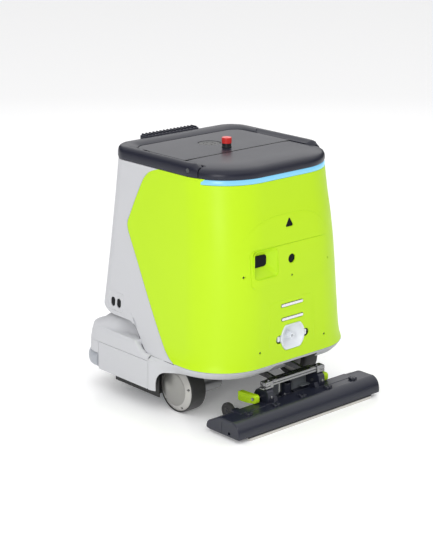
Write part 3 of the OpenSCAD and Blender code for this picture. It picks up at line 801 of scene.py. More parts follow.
def build_port():
    face = rear_surface(0, PORT_Z)
    rings = []
    for r, y in ((42.2, 4.0), (42.2, -0.6), (41.6, -1.4), (40.4, -1.8), (38.8, -1.4), (37.6, -0.2),
                 (35.5, 3.0), (31, 8.5), (25, 13.5), (18, 17.2), (12, 19.0), (9.6, 18.6), (8.4, 16.5),
                 (8.0, 8.0), (7.8, 2.0), (7.2, 0.9), (6.0, 0.6), (4.4, 0.9), (3.7, 2.0), (3.5, 8.0),
                 (3.4, 24.0)):
        share = clamp((r - 8) / 34.2)
        outline = []
        steps = 72
        for i in range(steps):
            a = 2 * math.pi * i / steps
            x, z = r * math.cos(a), r * math.sin(a)
            flat = 33.6 * r / 42.2
            k = min(1.0, flat / abs(z)) if z else 1.0
            k = lerp(1.0, k, share)
            outline.append((x, PORT_Z + z * k))
        rings.append((outline, face + y))
    dish = layered("p", "y", rings, close=False)
    face_rear(dish)
    thicken(dish, 1.2)
    parts = [dish]
    for sign in (-1, 1):
        parts.append(side_box("p", sign, (43.2, 52), (face + 2.5, PORT_Z - 8), (face + 12, PORT_Z + 7),
                              1.2, 2.5, "y"))
    finish_piece(join("dock_port_dish", parts), "frame", "port_plastic", ["dock_port"])
    backing = soft_box("port_backing", (-60, face + 13.5, PORT_Z - 14), (60, face + 16, PORT_Z + 13), 0.8,
                       3, "y")
    hole = lathe("t", "y", (0, face, PORT_Z), [(0.0, 5), (33, 5), (33, 30), (0.0, 30)], 48)
    cut(backing, [hole])
    finish_piece(backing, "frame", "green_shell")


def build_light_strip():
    nu = 150
    profile = [(-5.5, 625.6), (-1.0, 625.6), (-0.2, 627.0), (0.1, 631.5), (-0.2, 636.0), (-1.0, 637.6),
               (-5.5, 637.6)]
    end = STRIP_END - 8

    def point(i, j):
        t = -1 + 2 * i / (nu - 1)
        out, z = profile[j]
        lean = (z - 631) * 0.5
        return wall_point(t * (end - lean), z, out)

    strip = clean(grid("light_strip_ring", point, nu, len(profile), close_v=True, caps=True))
    finish_piece(strip, "frame", "light_strip", ["light_strip"], sharp=50)


# ---------------------------------------------------------------- top
LID_HALF_W = 186.0
LID_LO, LID_HI = -25.0, 184.0
HINGE_Z = 663.0
ARM_END_Y = -110.0
TOP_W, TOP_REAR, TOP_FRONT = 221.5, -205.0, 236.0
STOP_AT = (0, 19, 0)
LENS_AT = (0, 88, 0)
RIM_PLUG = (-81, 656)
RIM_GAP = 1.2


def top_point(s, out, z):
    """A point on the outline of the dark top, which stands straight on the body."""
    x, y = plan_point(run_to_u(abs(s)), TOP_W + out, TOP_REAR - out, TOP_FRONT + out, REAR_R + out,
                      FRONT_R + out)
    return (math.copysign(x, s) if s else 0.0, y, z)


def build_rear_cap():
    profile = [(-4.0, 638.6), (-1.2, 638.4), (0.2, 639.6), (1.2, 643.5), (1.5, 648.5), (0.8, 653.5),
               (-1.6, 658.5), (-6.0, 661.6), (-11.0, 663.4), (-17.0, 664.6), (-24.0, 665.5),
               (-32.0, 666.3), (-42.0, 667.2), (-56.0, 668.0), (-70.0, 668.3)]
    nu = 110
    end = STRIP_END - 1.5
    verts = [top_point((-1 + 2 * i / (nu - 1)) * end, out, z) for i in range(nu) for out, z in profile]
    nv = len(profile)
    faces = [(i * nv + j, (i + 1) * nv + j, (i + 1) * nv + j + 1, i * nv + j + 1)
             for i in range(nu - 1) for j in range(nv - 1)]
    front_y = LID_LO - 7.6
    half = LID_HALF_W + 0.6
    # The flat in front of the shoulder reaches forward between the rim arms to the lid seam
    for k, sign in ((0, -1), (nu - 1, 1)):
        column = [verts[k * nv + j] for j in range(nv)]
        base = len(verts)
        inner = [(sign * min(abs(v[0]), half), max(v[1], ARM_END_Y + 0.6), v[2]) for v in column]
        front = [(p[0], front_y, p[2]) for p in inner]
        verts += inner + front
        for j in range(nv - 1):
            faces.append((k * nv + j, k * nv + j + 1, base + j + 1, base + j))
            faces.append((base + j, base + j + 1, base + nv + j + 1, base + nv + j))
    last = nv - 1
    top_face = [i * nv + last for i in range(nu)]
    right = nu * nv + 2 * nv
    left = nu * nv
    top_face += [right + last, right + nv + last, left + nv + last, left + last]
    faces.append(tuple(top_face))
    cap = clean(make_object("rear_cap_shell", verts, faces), (0, -100, 600))
    bm = bmesh.new()
    bm.from_mesh(cap.data)
    bmesh.ops.triangulate(bm, faces=[f for f in bm.faces if len(f.verts) > 4])
    bm.to_mesh(cap.data)
    bm.free()
    thicken(cap, 2.6)
    finish_piece(cap, "frame", "dark_top", ["rear_cap"], sharp=42)


def build_top_rim():
    """The U-shaped rim round the lid: a closed section swept round the front from arm end to arm end."""
    inner = TOP_W - LID_HALF_W - RIM_GAP
    profile = [(-2.0, 640.2), (0.4, 641.0), (1.8, 645.0), (2.2, 652.0), (1.6, 660.0), (0.0, 666.5),
               (-3.0, 671.2), (-7.0, 673.8), (-12.0, 674.6), (-17.0, 673.8), (-23.0, 671.2),
               (-29.0, 668.9), (-inner + 0.8, 668.1), (-inner, 667.4), (-inner, 652.0), (-20.0, 645.0)]
    nu = 170
    s0 = STRIP_END + 0.6

    def point(i, j):
        sign, t = both_ways(i, nu)
        s = lerp(s0, RUN_END, t)
        out, z = profile[j]
        x, y, z = top_point(s, out, z)
        if s < RUN[0] + RUN[1] + 20 and out < -3:
            x = max(x, LID_HALF_W + RIM_GAP)
        # Inside of the front corners keeps to the rounded lid
        if y > 120 and out < -6:
            t_in = smooth((-6 - out) / (inner - 6))
            ix, iy = plan_point(run_to_u(s), LID_HALF_W + RIM_GAP, TOP_REAR, LID_HI + RIM_GAP, REAR_R, 39.0)
            x, y = lerp(x, ix, t_in), lerp(y, iy, t_in)
        # The ends of the arms round down towards the rear
        drop = smooth(1 - (s - s0) / 16) * 9 if z > 655 else 0.0
        return (x * sign, y, z - drop * clamp((z - 655) / 18))

    rim = clean(grid("top_rim_ring", point, nu, len(profile), close_v=True, caps=True))
    tools = []
    for sign in (-1, 1):
        lo, hi = sorted((sign * 219.5, sign * 240))
        tools.append(prism("t", "x", outline_circle(6.9, 40, RIM_PLUG), lo, hi))
    cut(rim, tools)
    finish_piece(rim, "frame", "dark_top", ["top_rim"], sharp=42)


GRIP_RIBS = 15
RIB_PITCH = 12.4


def build_grip():
    parts = [soft_box("p", (-98, 232, 659), (92, 262, 677), 4.0, 6.0)]
    for i in range(GRIP_RIBS):
        x = -90 + i * RIB_PITCH
        parts.append(soft_box("p", (x - 2.4, 236, 670), (x + 2.4, 260.5, 680.5), 2.0, 2.2))
    finish_piece(join("ribbed_pull", parts), "frame", "dark_top", ["rim_grip"])


def lid_outline(grow):
    lo, hi, r = LID_LO + 3.0, LID_HI, 38.0
    w = LID_HALF_W + grow
    pts = [(w, lo - grow)]
    for k, cx in ((0, LID_HALF_W - r), (1, r - LID_HALF_W)):
        for i in range(13):
            a = math.pi / 2 * (k + i / 12)
            pts.append((cx + (r + grow) * math.cos(a), hi - r + (r + grow) * math.sin(a)))
    pts.append((-w, lo - grow))
    return pts


def build_lid():
    rings = [(lid_outline(-0.3), 650), (lid_outline(-0.3), 666.6), (lid_outline(-0.8), 667.5),
             (lid_outline(-1.8), 668.0), (lid_outline(-6.0), 668.0)]
    plate = layered("p", "z", rings)
    hollow = prism("t", "z", lid_outline(-4.5), 640, 664.2)
    well = lathe("t", "z", LENS_AT, [(0.0, 666.4), (30.6, 666.4), (31.4, 667.6), (32.0, 670), (0.0, 670)],
                 72)
    stop_hole = lathe("t", "z", STOP_AT, [(0.0, 630), (12.6, 630), (12.6, 667), (13.6, 668.1), (13.6, 675),
                                           (0.0, 675)], 48)
    cut(plate, [hollow, well, stop_hole])
    round_edge = lathe("p", "x", (0, LID_LO, HINGE_Z), [(0.0, -LID_HALF_W + 0.3), (5.0, -LID_HALF_W + 0.3),
                       (5.0, LID_HALF_W - 0.3), (0.0, LID_HALF_W - 0.3)], 40)
    web = soft_box("p", (-LID_HALF_W + 0.5, LID_LO, 660.5), (LID_HALF_W - 0.5, LID_LO + 6, 667.9), 0.4, 0.8)
    lid = join("lid_panel", [plate, web])
    finish_piece(lid, "lid", "dark_top", ["lid"])
    # The lid's rounded rear edge takes the near-black window material: painted shade for the seam between
    # lid and rear cap
    round_edge.name = "lid_hinge_barrel"
    finish_piece(round_edge, "lid", "lens_black")
    disc = [lathe("p", "z", LENS_AT, [(0.0, 667.3), (28.6, 667.3), (29.6, 667.0), (30.2, 666.5),
                                      (30.2, 664.6),
                                         (0.0, 664.6)], 72)]
    for k in range(6):
        a = math.radians(60 * k + 12)
        disc.append(lathe("p", "z", (15 * math.cos(a), LENS_AT[1] + 15 * math.sin(a), 0),
                          [(0.0, 668.0), (1.2, 667.9), (2.2, 667.3), (2.3, 666.8), (0.0, 666.8)], 16))
    finish_piece(join("ceiling_lens_disc", disc), "lid", "lens_black", ["ceiling_lens"])
    base = lathe("stop_base_tube", "z", STOP_AT, [(9.0, 654.5), (12.0, 654.5), (12.0, 669.0), (12.9, 669.6),
                 (12.9, 670.6), (12.0, 671.2), (12.0, 682.5), (11.5, 683.2), (9.5, 683.2), (9.0, 682.6),
                 (9.0, 654.5)], 64)
    finish_piece(base, "lid", "black_plastic", ["stop_base"])
    cap = lathe("stop_cap", "z", STOP_AT,
                [(0.0, 694.4), (7, 694.5), (10.5, 695.0), (12.2, 694.6), (13.0, 693.6),
                (13.2, 692.2), (13.2, 680.4), (12.9, 679.4), (12.4, 679.2), (12.3, 680), (12.3, 688.8),
                (0.0, 688.8)], 64)
    finish_piece(cap, "stop_button", "stop_red", ["stop_button"])


SCREEN_Z = 559


def build_display():
    neck = soft_box("p", (-100, 244, 532), (100, 270, 586), 3, 8, "y")

    def at(inset):
        return outline_round_rect(160 - inset, 33 - inset, 14 - inset * 0.8, 8, (0, SCREEN_Z))

    bezel = soft_prism("p", "y", at, 268, 282, 3.2)
    piece = join("screen_housing", [neck, bezel])
    finish_piece(piece, "frame", "black_plastic", ["display"])
    glass = soft_prism("screen_glass", "y", rect_at(148, 27, 8, 8, (0, SCREEN_Z)), 279, 283.4, 0.8)
    finish_piece(glass, "frame", "lens_black", ["display_glass"])


# ---------------------------------------------------------------- deck, skirt, bumper
DECK_W = 275.9
DECK_REAR = 20.8
DECK_FRONT_R = 58.0
DECK_RUN = (210.0, 91.0, 216.0)
BUMPER_FRONT = 314.4
BUMPER_END_Y = 240.5
DECK_CORNER_Y = 256.0
BRUSH_Z = 67


def deck_plan(s, inset, front):
    """Half outline of the deck: up the side, round the front corner, along the front to the middle."""
    w = DECK_W - inset
    r = max(6.0, DECK_FRONT_R - inset * 0.5)
    if s <= DECK_RUN[0]:
        return w, lerp(DECK_REAR, front - r, s / DECK_RUN[0])
    s -= DECK_RUN[0]
    if s <= DECK_RUN[1]:
        a = math.pi / 2 * s / DECK_RUN[1]
        return w - r * (1 - math.cos(a)), front - r * (1 - math.sin(a))
    s -= DECK_RUN[1]
    return lerp(w - r, 0.0, s / DECK_RUN[2]), front


FRONT_LINE = curve_table([(57, 303.0), (64, 304.5), (82, 306.0), (104, 304.5), (137, 301.0), (160, 296.0),
                          (172, 291.5)])


def deck_profile(y_side):
    """Points (inset, height, inset at the front) from the lower edge up over the shoulder to the waist."""
    edge = min(178.5, SHELL_EDGE(y_side) + 2.0)
    rise = clamp((edge - 137) / 41.5, 0.05, 1.0)
    hood = smooth((y_side - 168) / 62)
    roll = lerp(13.0, 6.0, smooth((y_side - 20) / 55))
    pts = [(1.8, 57.0), (0.6, 60.0), (0.1, 66.0), (0.0, 80.0), (0.0, 100.0), (0.0, 120.0), (0.0, 134.9),
           (0.9, 135.9), (0.9, 137.3), (0.0, 138.3)]
    for k in range(1, 6):
        a = math.pi / 2 * k / 6
        pts.append((roll * (1 - math.cos(a)), 138.3 + (edge - 138.3) * (0.45 + 0.55 * math.sin(a)) if k > 1
                    else 138.3 + (edge - 138.3) * 0.45))
    pts.append((roll, edge))
    reach = 52.0
    for k in range(1, 10):
        t = k / 9
        inset = lerp(roll, reach, t)
        flat = edge - 1.0 * math.sin(math.pi * t) * (1 - hood)
        fillet = 26.0 * max(0.0, (t - 0.62) / 0.38) ** 2.2
        ramp = 34.0 * smooth(t / 0.95)
        pts.append((inset, flat + lerp(fillet, ramp, hood) * rise))
    return pts


def build_deck():
    total = sum(DECK_RUN)
    nu = 150
    nv = len(deck_profile(100))

    def column(i):
        sign, t = both_ways(i, nu)
        s = t * total
        y_side = deck_plan(s, 0, 305)[1]
        col = []
        for inset, z in deck_profile(y_side):
            front = FRONT_LINE(min(z, 172.0)) - max(0.0, inset - 6.0) * 1.45
            x, y = deck_plan(s, inset, front)
            if y_side < 75 and inset > 14:
                z = min(z, SHELL_EDGE(y) - 1.5)
            col.append((x * sign, y, z))
        return col

    columns = [column(i) for i in range(nu)]
    deck = clean(grid("deck_housing_skin", lambda i, j: columns[i][j], nu, nv), (0, 120, 60))
    thicken(deck, 2.8)
    round_edges(deck, 0.9, 2, 50)
    tools = [soft_box("t", (-400, 233.0, 30), (400, 400, 102.8), 1.5, 3.0, "y")]
    for sign in (-1, 1):
        x0, x1 = sorted((sign * 268, sign * 300))
        tools.append(prism("t", "x", outline_round_rect(104.2, 60, 4, 5, (127.5, 76.2)), x0, x1))
    cut(deck, tools)
    finish_piece(deck, "frame", "grey_shell", ["deck_housing"], sharp=42)
    for sign, node in ((-1, "side_cover_left"), (1, "side_cover_right")):
        x0, x1 = sorted((sign * (DECK_W - 3.0), sign * DECK_W))
        plate = soft_prism(node + "_panel", "x",
                           lambda inset: outline_round_rect(103.6 - inset, 39.2 - inset, 3.6, 5,
                                                            (127.5, 96.4)),
                           x0, x1, 0.9)
        finish_piece(plate, "frame", "grey_shell", [node])


def build_neck():
    w, front, r = 223.0, 224.0, 58.0

    def point(i, j):
        sign, t = both_ways(i, 80)
        s = t * 470
        if s < 118:
            x, y = w, lerp(48, front - r, s / 118)
        elif s < 209:
            a = math.pi / 2 * (s - 118) / 91
            x, y = w - r * (1 - math.cos(a)), front - r * (1 - math.sin(a))
        else:
            x, y = lerp(w - r, 0, (s - 209) / 261), front
        return (x * sign, y, lerp(172, 236, j / 7))

    neck = clean(grid("waist_wall", point, 80, 8), (0, 100, 200))
    thicken(neck, 2.6)
    finish_piece(neck, "frame", "grey_shell", ["neck_cover"])


def build_bumper():
    profile = [(8.0, 60.6), (5.2, 61.2), (3.0, 63.5), (1.4, 68.0), (0.4, 75.0), (0.0, 82.0), (0.5, 88.0),
               (1.9, 94.0), (4.2, 98.4), (6.6, 101.0), (9.0, 102.0), (9.4, 102.0), (9.4, 60.6)]
    total = sum(DECK_RUN)
    nu = 120
    start = DECK_RUN[0] * (BUMPER_END_Y - DECK_REAR) / (DECK_CORNER_Y - DECK_REAR)

    def point(i, j):
        sign, t = both_ways(i, nu)
        inset, z = profile[j]
        s = lerp(start, total, t)
        x, y = deck_plan(s, inset, BUMPER_FRONT - inset)
        return (x * sign, y, z)

    bumper = clean(grid("bumper_band", point, nu, len(profile), close_v=True, caps=True))
    round_edges(bumper, 1.0, 2, 50)
    finish_piece(bumper, "bumper", "bumper_grey", ["front_bumper"], sharp=45)


ARCH = curve_table([(-34, 113.0), (-30, 112.8), (-24, 111.6), (-18, 108.8), (-12, 103.6), (-7, 96.0),
                    (-4, 88.0), (-2.6, 78.0)])
SKIRT_LOW = curve_table([(-400, 127), (-230, 126), (-200, 125.5), (-150, 124), (-110, 121.5), (-70, 117.5),
                         (-34, 113.0)])


ARCH_FRONT, ARCH_REAR = -2.55, -34
FLANK_FOOT = 57.0
FLANK_FLARE = 13.6


def build_skirt():
    """Grey band under the covers, flaring forward into the flank in front of each wheel."""
    columns = []
    runs = [k * 11.0 for k in range(32)]
    z_ref = 148.0
    a = REAR_Y(z_ref) + REAR_R
    ys = [a + 4 + k * (-36 - a - 4) / 8 for k in range(9)] + [-34 + k * 1.6 for k in range(20)]
    ys += [-2.6, -2.5, 0, 4, 8, 12, 16, 20.0]
    runs = [r for r in runs if r <= RUN[0] + RUN[1]] + [side_run(y, z_ref) for y in sorted(ys)]
    for s in runs:
        y0 = wall_point(s, z_ref)[1]
        side = smooth((y0 + 150) / 150)
        forward = smooth((y0 + 75) / 95)
        if y0 > ARCH_FRONT:
            low = FLANK_FOOT
        else:
            low = ARCH(y0) if y0 > ARCH_REAR else SKIRT_LOW(y0)
        col = []
        for k in range(13):
            t = k / 12
            z = lerp(147.9, low, t)
            drop = (148 - z) / 26
            tuck = lerp(22.0, 9.0, side) * clamp(drop, 0, 1.2) ** 1.5 + 0.6
            x, y, _ = wall_point(s, z_ref, -tuck)
            bulge = forward * (FLANK_FLARE * smooth((149.5 - z) / 7) - 0.2)
            if y0 > a:
                x = lerp(x, 262.2 + bulge, forward)
            col.append((x, y, z))
        columns.append(col)
    left = [[(-x, y, z) for x, y, z in col] for col in columns[:0:-1]]
    columns = left + columns
    skirt = clean(grid("lower_skirt_band", lambda i, j: columns[i][j], len(columns), 13), (0, -60, 160))
    thicken(skirt, 2.8)
    round_edges(skirt, 0.9, 2, 50)
    cut(skirt, [soft_box("t", (-67, -300, 60), (99, -150, 141), 8, 10, "y")])
    finish_piece(skirt, "frame", "grey_shell", ["lower_skirt"], sharp=42)


def build_gaskets():
    """Thin sealing beads along the cover seam and under the rear cover, and a near-black bead under the
    front shell's lower edge that is painted shadow of the overhanging shell.
    """
    for sign, side in ((-1, "left"), (1, "right")):
        path = []
        for k in range(60):
            z = lerp(149.0, 622.0, k / 59)
            x, y, _ = wall_point(side_run(PARTING(z), z), z, -0.35)
            path.append((sign * x, y, z))
        finish_piece(tube("cover_bead_" + side, path, 0.85, 8, up=(1.0, 0.0, 0.0)), "frame", "trim_dark",
                     material=GASKET)
        # Near-black bead along the front shell's lower edge: painted shadow of the shell overhanging the
        # deck
        path = []
        for k in range(60):
            y = lerp(-70.0, 110.0, k / 59)
            z = SHELL_EDGE(y) - 0.7
            x = wall_point(side_run(y, z), z, -0.6)[0]
            path.append((sign * x, y, z))
        finish_piece(tube("shell_shadow_line_" + side, path, 1.0, 8, up=(1.0, 0.0, 0.0)), "frame", "trim_dark",
                     material=SHELL_SHADOW_LINE)
    z = COVER_BOTTOM - 0.5
    end = side_run(-74.0, z)
    path = [wall_point(lerp(-end, end, k / 119), z, -0.6) for k in range(120)]
    finish_piece(tube("rear_bead", path, 0.9, 8, up=(0.0, 0.0, 1.0)), "frame", "trim_dark", material=GASKET)


# ---------------------------------------------------------------- wheels
WHEEL = (209.0, -39.0, 65.0)
HUB_SCREWS = 5
HUB_SCREW_R = 53.5
HUB_SCREW_START = 169


def build_wheels():
    tyre_profile = [(50.2, -29.4), (58.5, -29.6), (62.0, -28.4), (64.2, -25.5), (64.9, -21.0)]
    for k in range(-3, 4):
        tyre_profile += [(65.0, k * 5.0 - 1.6), (65.0, k * 5.0 + 1.6)]
    tyre_profile += [(64.9, 19.5), (64.4, 21.0), (63.2, 21.8), (62.0, 21.4), (61.8, 14.8), (50.2, 14.8),
                     (50.2, -29.4)]
    hub_profile = [(0.0, 30.0), (14, 29.95), (26, 29.7), (36, 29.3), (42.0, 28.8), (45.0, 28.2),
                   (47.5, 27.0), (52.0, 24.2), (57.0, 21.4), (59.6, 20.4), (61.0, 19.4), (61.6, 17.8),
                   (61.6, 15.0), (50.1, 15.0), (50.1, -25.0), (9.2, -25.0), (9.2, 18.0), (0.0, 18.0)]
    for sign, side in ((-1, "left"), (1, "right")):
        centre = (sign * WHEEL[0], WHEEL[1], WHEEL[2])
        body = "drive_wheel_" + side
        tyre = lathe("tyre_" + side + "_ring", "x", centre, [(r, sign * t) for r, t in tyre_profile], 128)
        finish_piece(tyre, body, "tyre_rubber", ["tyre_" + side])
        hub = lathe("wheel_hub_" + side, "x", centre, [(r, sign * t) for r, t in hub_profile], 128)
        tools = []
        screws = []
        for k in range(HUB_SCREWS):
            a = math.radians(360 / HUB_SCREWS * k + HUB_SCREW_START)
            y = centre[1] + HUB_SCREW_R * math.cos(a)
            z = centre[2] + HUB_SCREW_R * math.sin(a)
            lo, hi = sorted((sign * 228.5, sign * 245))
            tools.append(prism("t", "x", outline_circle(3.3, 20, (y, z)), lo, hi))
            lo, hi = sorted((sign * 226.5, sign * 230.2))
            screws.append(soft_prism("p", "x", disc_at(3.0, 16, (y, z)), lo, hi, 0.5))
        cut(hub, tools)
        finish_piece(hub, body, "hub_metal", ["hub_" + side])
        finish_piece(join("hub_screws_" + side, screws), body, "trim_dark")
        # Middle cover disc in the darker copy of the hub metal: painted shade
        disc = [(0.0, 30.5), (14, 30.45), (26, 30.2), (36, 29.9), (42.0, 29.4), (44.6, 28.9), (45.4, 28.4),
                (45.4, 27.0), (0.0, 27.0)]
        cover = lathe("hub_disc_" + side, "x", centre, [(r, sign * t) for r, t in disc], 128)
        finish_piece(cover, body, "hub_metal", material=HUB_DISC_SHADED)


def build_small_wheels():
    for sign, side in ((-1, "left"), (1, "right")):
        profile = [(4.1, -12), (9, -12), (10, -9.5), (21, -9.5), (22, -12), (25.5, -12), (28.4, -10.6),
                   (30, -7.5), (30, 7.5), (28.4, 10.6), (25.5, 12), (22, 12), (21, 9.5), (10, 9.5),
                   (9, 12), (4.1, 12), (4.1, -12)]
        wheel = lathe("caster_tyre_" + side, "x", (sign * 110, 230, 30), profile, 64)
        finish_piece(wheel, "caster_roller_" + side, "tyre_rubber", ["caster_wheel_" + side])
        profile = [(3.1, -6.5), (8, -6.5), (9, -5), (15, -5), (16, -6.5), (19, -6.5), (21, -5.4),
                   (22, -3.4), (22, 3.4), (21, 5.4), (19, 6.5), (16, 6.5), (15, 5), (9, 5), (8, 6.5),
                   (3.1, 6.5), (3.1, -6.5)]
        roller = lathe("head_roller_tyre_" + side, "x", (sign * ROLLER_X, *ROLLER_AXIS), profile, 56)
        finish_piece(roller, "head_roller_" + side, "tyre_rubber", ["head_roller_" + side])


BRUSHES = ((150.0, "front", 1), (72.0, "rear", -1))
TUFT_ROWS, TUFTS_IN_ROW = 14, 52


def build_rollers():
    """Scrub rollers: a core with slanting rows of bristle tufts."""
    for y0, name, turn in BRUSHES:
        core = lathe("p", "x", (0, y0, BRUSH_Z),
                     [(0.0, -244), (5.9, -244), (5.9, -237), (23, -236), (25, -234),
                     (25, 234), (23, 236), (5.9, 237), (5.9, 244), (0.0, 244)], 40)
        verts, faces = [], []
        for row in range(TUFT_ROWS):
            for k in range(TUFTS_IN_ROW):
                x = -228 + k * 456 / (TUFTS_IN_ROW - 1)
                a = 2 * math.pi * (row / TUFT_ROWS + turn * x / 2000)
                c, s = math.cos(a), math.sin(a)
                base = len(verts)
                for r, half in ((23.0, 2.0), (35.8, 3.3)):
                    for dx, dt in ((-half, -half), (half, -half), (half, half), (-half, half)):
                        verts.append((x + dx, y0 + r * c - dt * s, BRUSH_Z + r * s + dt * c))
                faces += [(base, base + 1, base + 5, base + 4), (base + 1, base + 2, base + 6, base + 5),
                          (base + 2, base + 3, base + 7, base + 6), (base + 3, base, base + 4, base + 7),
                          (base + 4, base + 5, base + 6, base + 7), (base + 3, base + 2, base + 1, base)]
        bristle = clean(make_object("p", verts, faces))
        finish_piece(join("bristle_roller_" + name, [core, bristle]), name + "_roller", "bristle",
                     ["brush_" + name])


def build_splash_skirt():
    parts = []
    for sign in (-1, 1):
        parts.append(side_box("p", sign, (246.4, 249.8), (7.4, 31.2), (191.6, 99), 0.8, 1.2, "x"))
    parts.append(soft_box("p", (-246, 189.6, 31.2), (246, 191.8, 99), 0.6, 1.0, "y"))
    parts.append(soft_box("p", (-246, 28.7, 31.2), (246, 31.2, 99), 0.6, 1.0, "y"))
    finish_piece(join("rubber_splash_skirt", parts), "brush_deck", "skirt_rubber", ["splash_skirt"])


# ---------------------------------------------------------------- squeegee
HEAD_W = 258.0
STUB_AT = (0, -214, 0)
ROLLER_X = 159.5
ROLLER_AXIS = (-166, 22)
LIFT_PIVOT = (-120, 110)
BAR_AXIS = (-235, 101)
LATCH_PIN = (-231.6, 66)
KNOB_Y = -276
HEAD = [(-188.5, 13.0), (-189.5, 20.0), (-192.5, 27.0), (-197.5, 32.0), (-204.5, 35.5), (-213.0, 39.0),
        (-222.0, 43.5), (-231.0, 48.4), (-236.0, 50.6), (-241.0, 51.6), (-247.0, 51.9), (-262.0, 51.9),
        (-284.0, 51.9), (-286.5, 52.4), (-289.0, 52.4), (-294.5, 51.2), (-300.0, 48.4), (-305.0, 44.0),
        (-309.5, 37.5), (-312.5, 30.0), (-314.2, 21.0), (-314.4, 13.0), (-313.8, 10.0), (-311.5, 8.6),
        (-303.0, 8.0), (-280.0, 8.0), (-250.0, 8.0), (-220.0, 8.0), (-202.0, 8.0), (-192.0, 9.0)]
KNOB_PITCH = 95.3


def build_head():
    mid_y, mid_z = -252.0, 28.0
    stations = [(-HEAD_W, 3.0), (-HEAD_W + 0.6, 1.6), (-HEAD_W + 1.8, 0.6), (-HEAD_W + 4, 0.0),
                (-170, 0.0), (-80, 0.0), (0, 0.0), (80, 0.0), (170, 0.0), (HEAD_W - 4, 0.0),
                (HEAD_W - 1.8, 0.6), (HEAD_W - 0.6, 1.6), (HEAD_W, 3.0)]

    def ring(inset):
        half_y, half_z = 63.0, 22.0
        return [(mid_y + (y - mid_y) * (1 - inset / half_y), mid_z + (z - mid_z) * (1 - inset / half_z))
                for y, z in HEAD]

    body = layered("p", "x", [(ring(inset), x) for x, inset in stations])
    tools = []
    for sign in (-1, 1):
        x0, x1 = sorted((sign * 250, sign * 262))
        tools.append(prism("t", "x", outline_circle(4.4, 24, (-277, 18)), x0, x1))
        # Shallow upright groove beside the plug at each end
        x0, x1 = sorted((sign * (HEAD_W - 1.0), sign * 262))
        tools.append(prism("t", "x", outline_round_rect(0.6, 16, 0.5, 3, (-249.5, 27)), x0, x1))
    tools.append(lathe("t", "z", STUB_AT, [(0.0, 12), (12, 12), (12, 90), (0.0, 90)], 48))
    cut(body, tools)
    parts = [body]
    stub = lathe("p", "z", STUB_AT, [(12.0, 30), (15.0, 30), (15.0, 44), (15.0, 70), (15.5, 70.8),
                                     (15.5, 74.6),
                 (14.9, 75.8), (13.2, 76.0), (12.1, 75.2), (12.0, 70), (12.0, 30)], 64)
    parts.append(stub)
    parts.append(lathe("p", "z", STUB_AT, [(15.0, 34), (20, 40), (17, 44.5), (15.2, 48.5), (15.0, 50)], 64))
    # Raised bed under the lugs and long ribs along the top
    for sign in (-1, 1):
        parts.append(side_box("p", sign, (74, 110), (-259, 36), (-203, 53.0), 1.6, 4.0))
        parts.append(side_box("p", sign, (24, 73), (-224, 34), (-204, 45.5), 1.4, 3.0))
        parts.append(side_box("p", sign, (113, 205), (-263, 40), (-232, 52.9), 1.2, 5.0))
        # Bracket of the side roller
        parts.append(side_box("p", sign, (147.5, 152), (-196, 9), (-158, 31), 1.5, 7.0, "x"))
        parts.append(side_rod("p", sign, (151, 167), ROLLER_AXIS, 2.9, 20))
        parts.append(side_box("p", sign, (147.5, 170), (-198, 20), (-186, 34), 1.5, 3.0))
    head = join("squeegee_body", parts)
    finish_piece(head, "squeegee", "dark_top", ["squeegee_head"], material=SQUEEGEE, sharp=40)


def build_blades():
    parts = []
    w = 221.0
    parts.append(soft_box("p", (-w, -316.4, 0.0), (w, -309.6, 6.4), 0.5, 0.8))
    parts.append(soft_box("p", (-w - 2, -309.4, 3.4), (w + 2, -305.2, 9.5), 0.5, 0.8))
    parts.append(soft_box("p", (-w, -203.8, 1.5), (w, -200.6, 9.5), 0.5, 0.8))
    finish_piece(join("gum_blades", parts), "squeegee", "blade_rubber", ["squeegee_blades"])
    # Thin dark retainer strip above the rear blade
    strip = soft_box("blade_retainer", (-w - 4, -314.6, 6.6), (w + 4, -309.8, 9.2), 0.6, 1.0)
    finish_piece(strip, "squeegee", "black_plastic")


def build_knobs():
    parts = []
    for k in range(-2, 3):
        x = k * KNOB_PITCH
        parts.append(lathe("p", "z", (x, KNOB_Y, 0),
                           [(0.0, 57.4), (5.5, 57.4), (8.4, 56.8), (9.8, 55.6), (10.2, 54.2),
                     (10.2, 52.6), (11.4, 52.1), (0.0, 52.1)], 36))
        for m in range(3):
            a = math.radians(60 * m + 20)
            wing = soft_box("p", (-11.6, -2.6, 53.0), (11.6, 2.6, 58.4), 1.2, 2.4)
            wing.data.transform(Matrix.Translation((x * MM, KNOB_Y * MM, 0)) @ Matrix.Rotation(a, 4, "Z"))
            parts.append(wing)
    finish_piece(join("star_knobs", parts), "squeegee", "dark_top", ["blade_knobs"], material=SQUEEGEE)


def build_carrier():
    lug = [(-257, 52.4), (-205, 52.4), (-203.5, 60), (-204, 72), (-210, 80), (-222, 87), (-249, 87.6),
           (-255, 82), (-257.5, 70)]
    parts = []
    for sign in (-1, 1):
        x0, x1 = sorted((sign * 82, sign * 104))
        piece = prism("p", "x", lug, x0, x1)
        round_edges(piece, 2.2, 3)
        parts.append(piece)
        for z in (60, 70):
            parts.append(side_box("p", sign, (103, 108), (-226, z - 1.5), (-207, z + 1.5), 0.8, 1.2))
        # Web that runs down to the middle
        x0, x1 = sorted((sign * 68, sign * 83))
        web = prism("p", "x", [(-258, 52.4), (-240, 52.4), (-240, 60), (-252, 66)], x0, x1)
        round_edges(web, 1.2, 2)
        parts.append(web)
    lugs = join("carrier_lugs", parts)
    finish_piece(lugs, "squeegee", "dark_top", ["head_carrier"], material=SQUEEGEE)
    parts = []
    for sign in (-1, 1):
        parts.append(side_box("p", sign, (20, 81), (-209.5, 44), (-207, 82), 0.8, 4.0, "y"))
        parts.append(side_box("p", sign, (50, 81), (-226, 52), (-209, 54.4), 0.8, 2.0))
    finish_piece(join("guard_plates", parts), "squeegee", "port_plastic", material=PANEL_PALE)


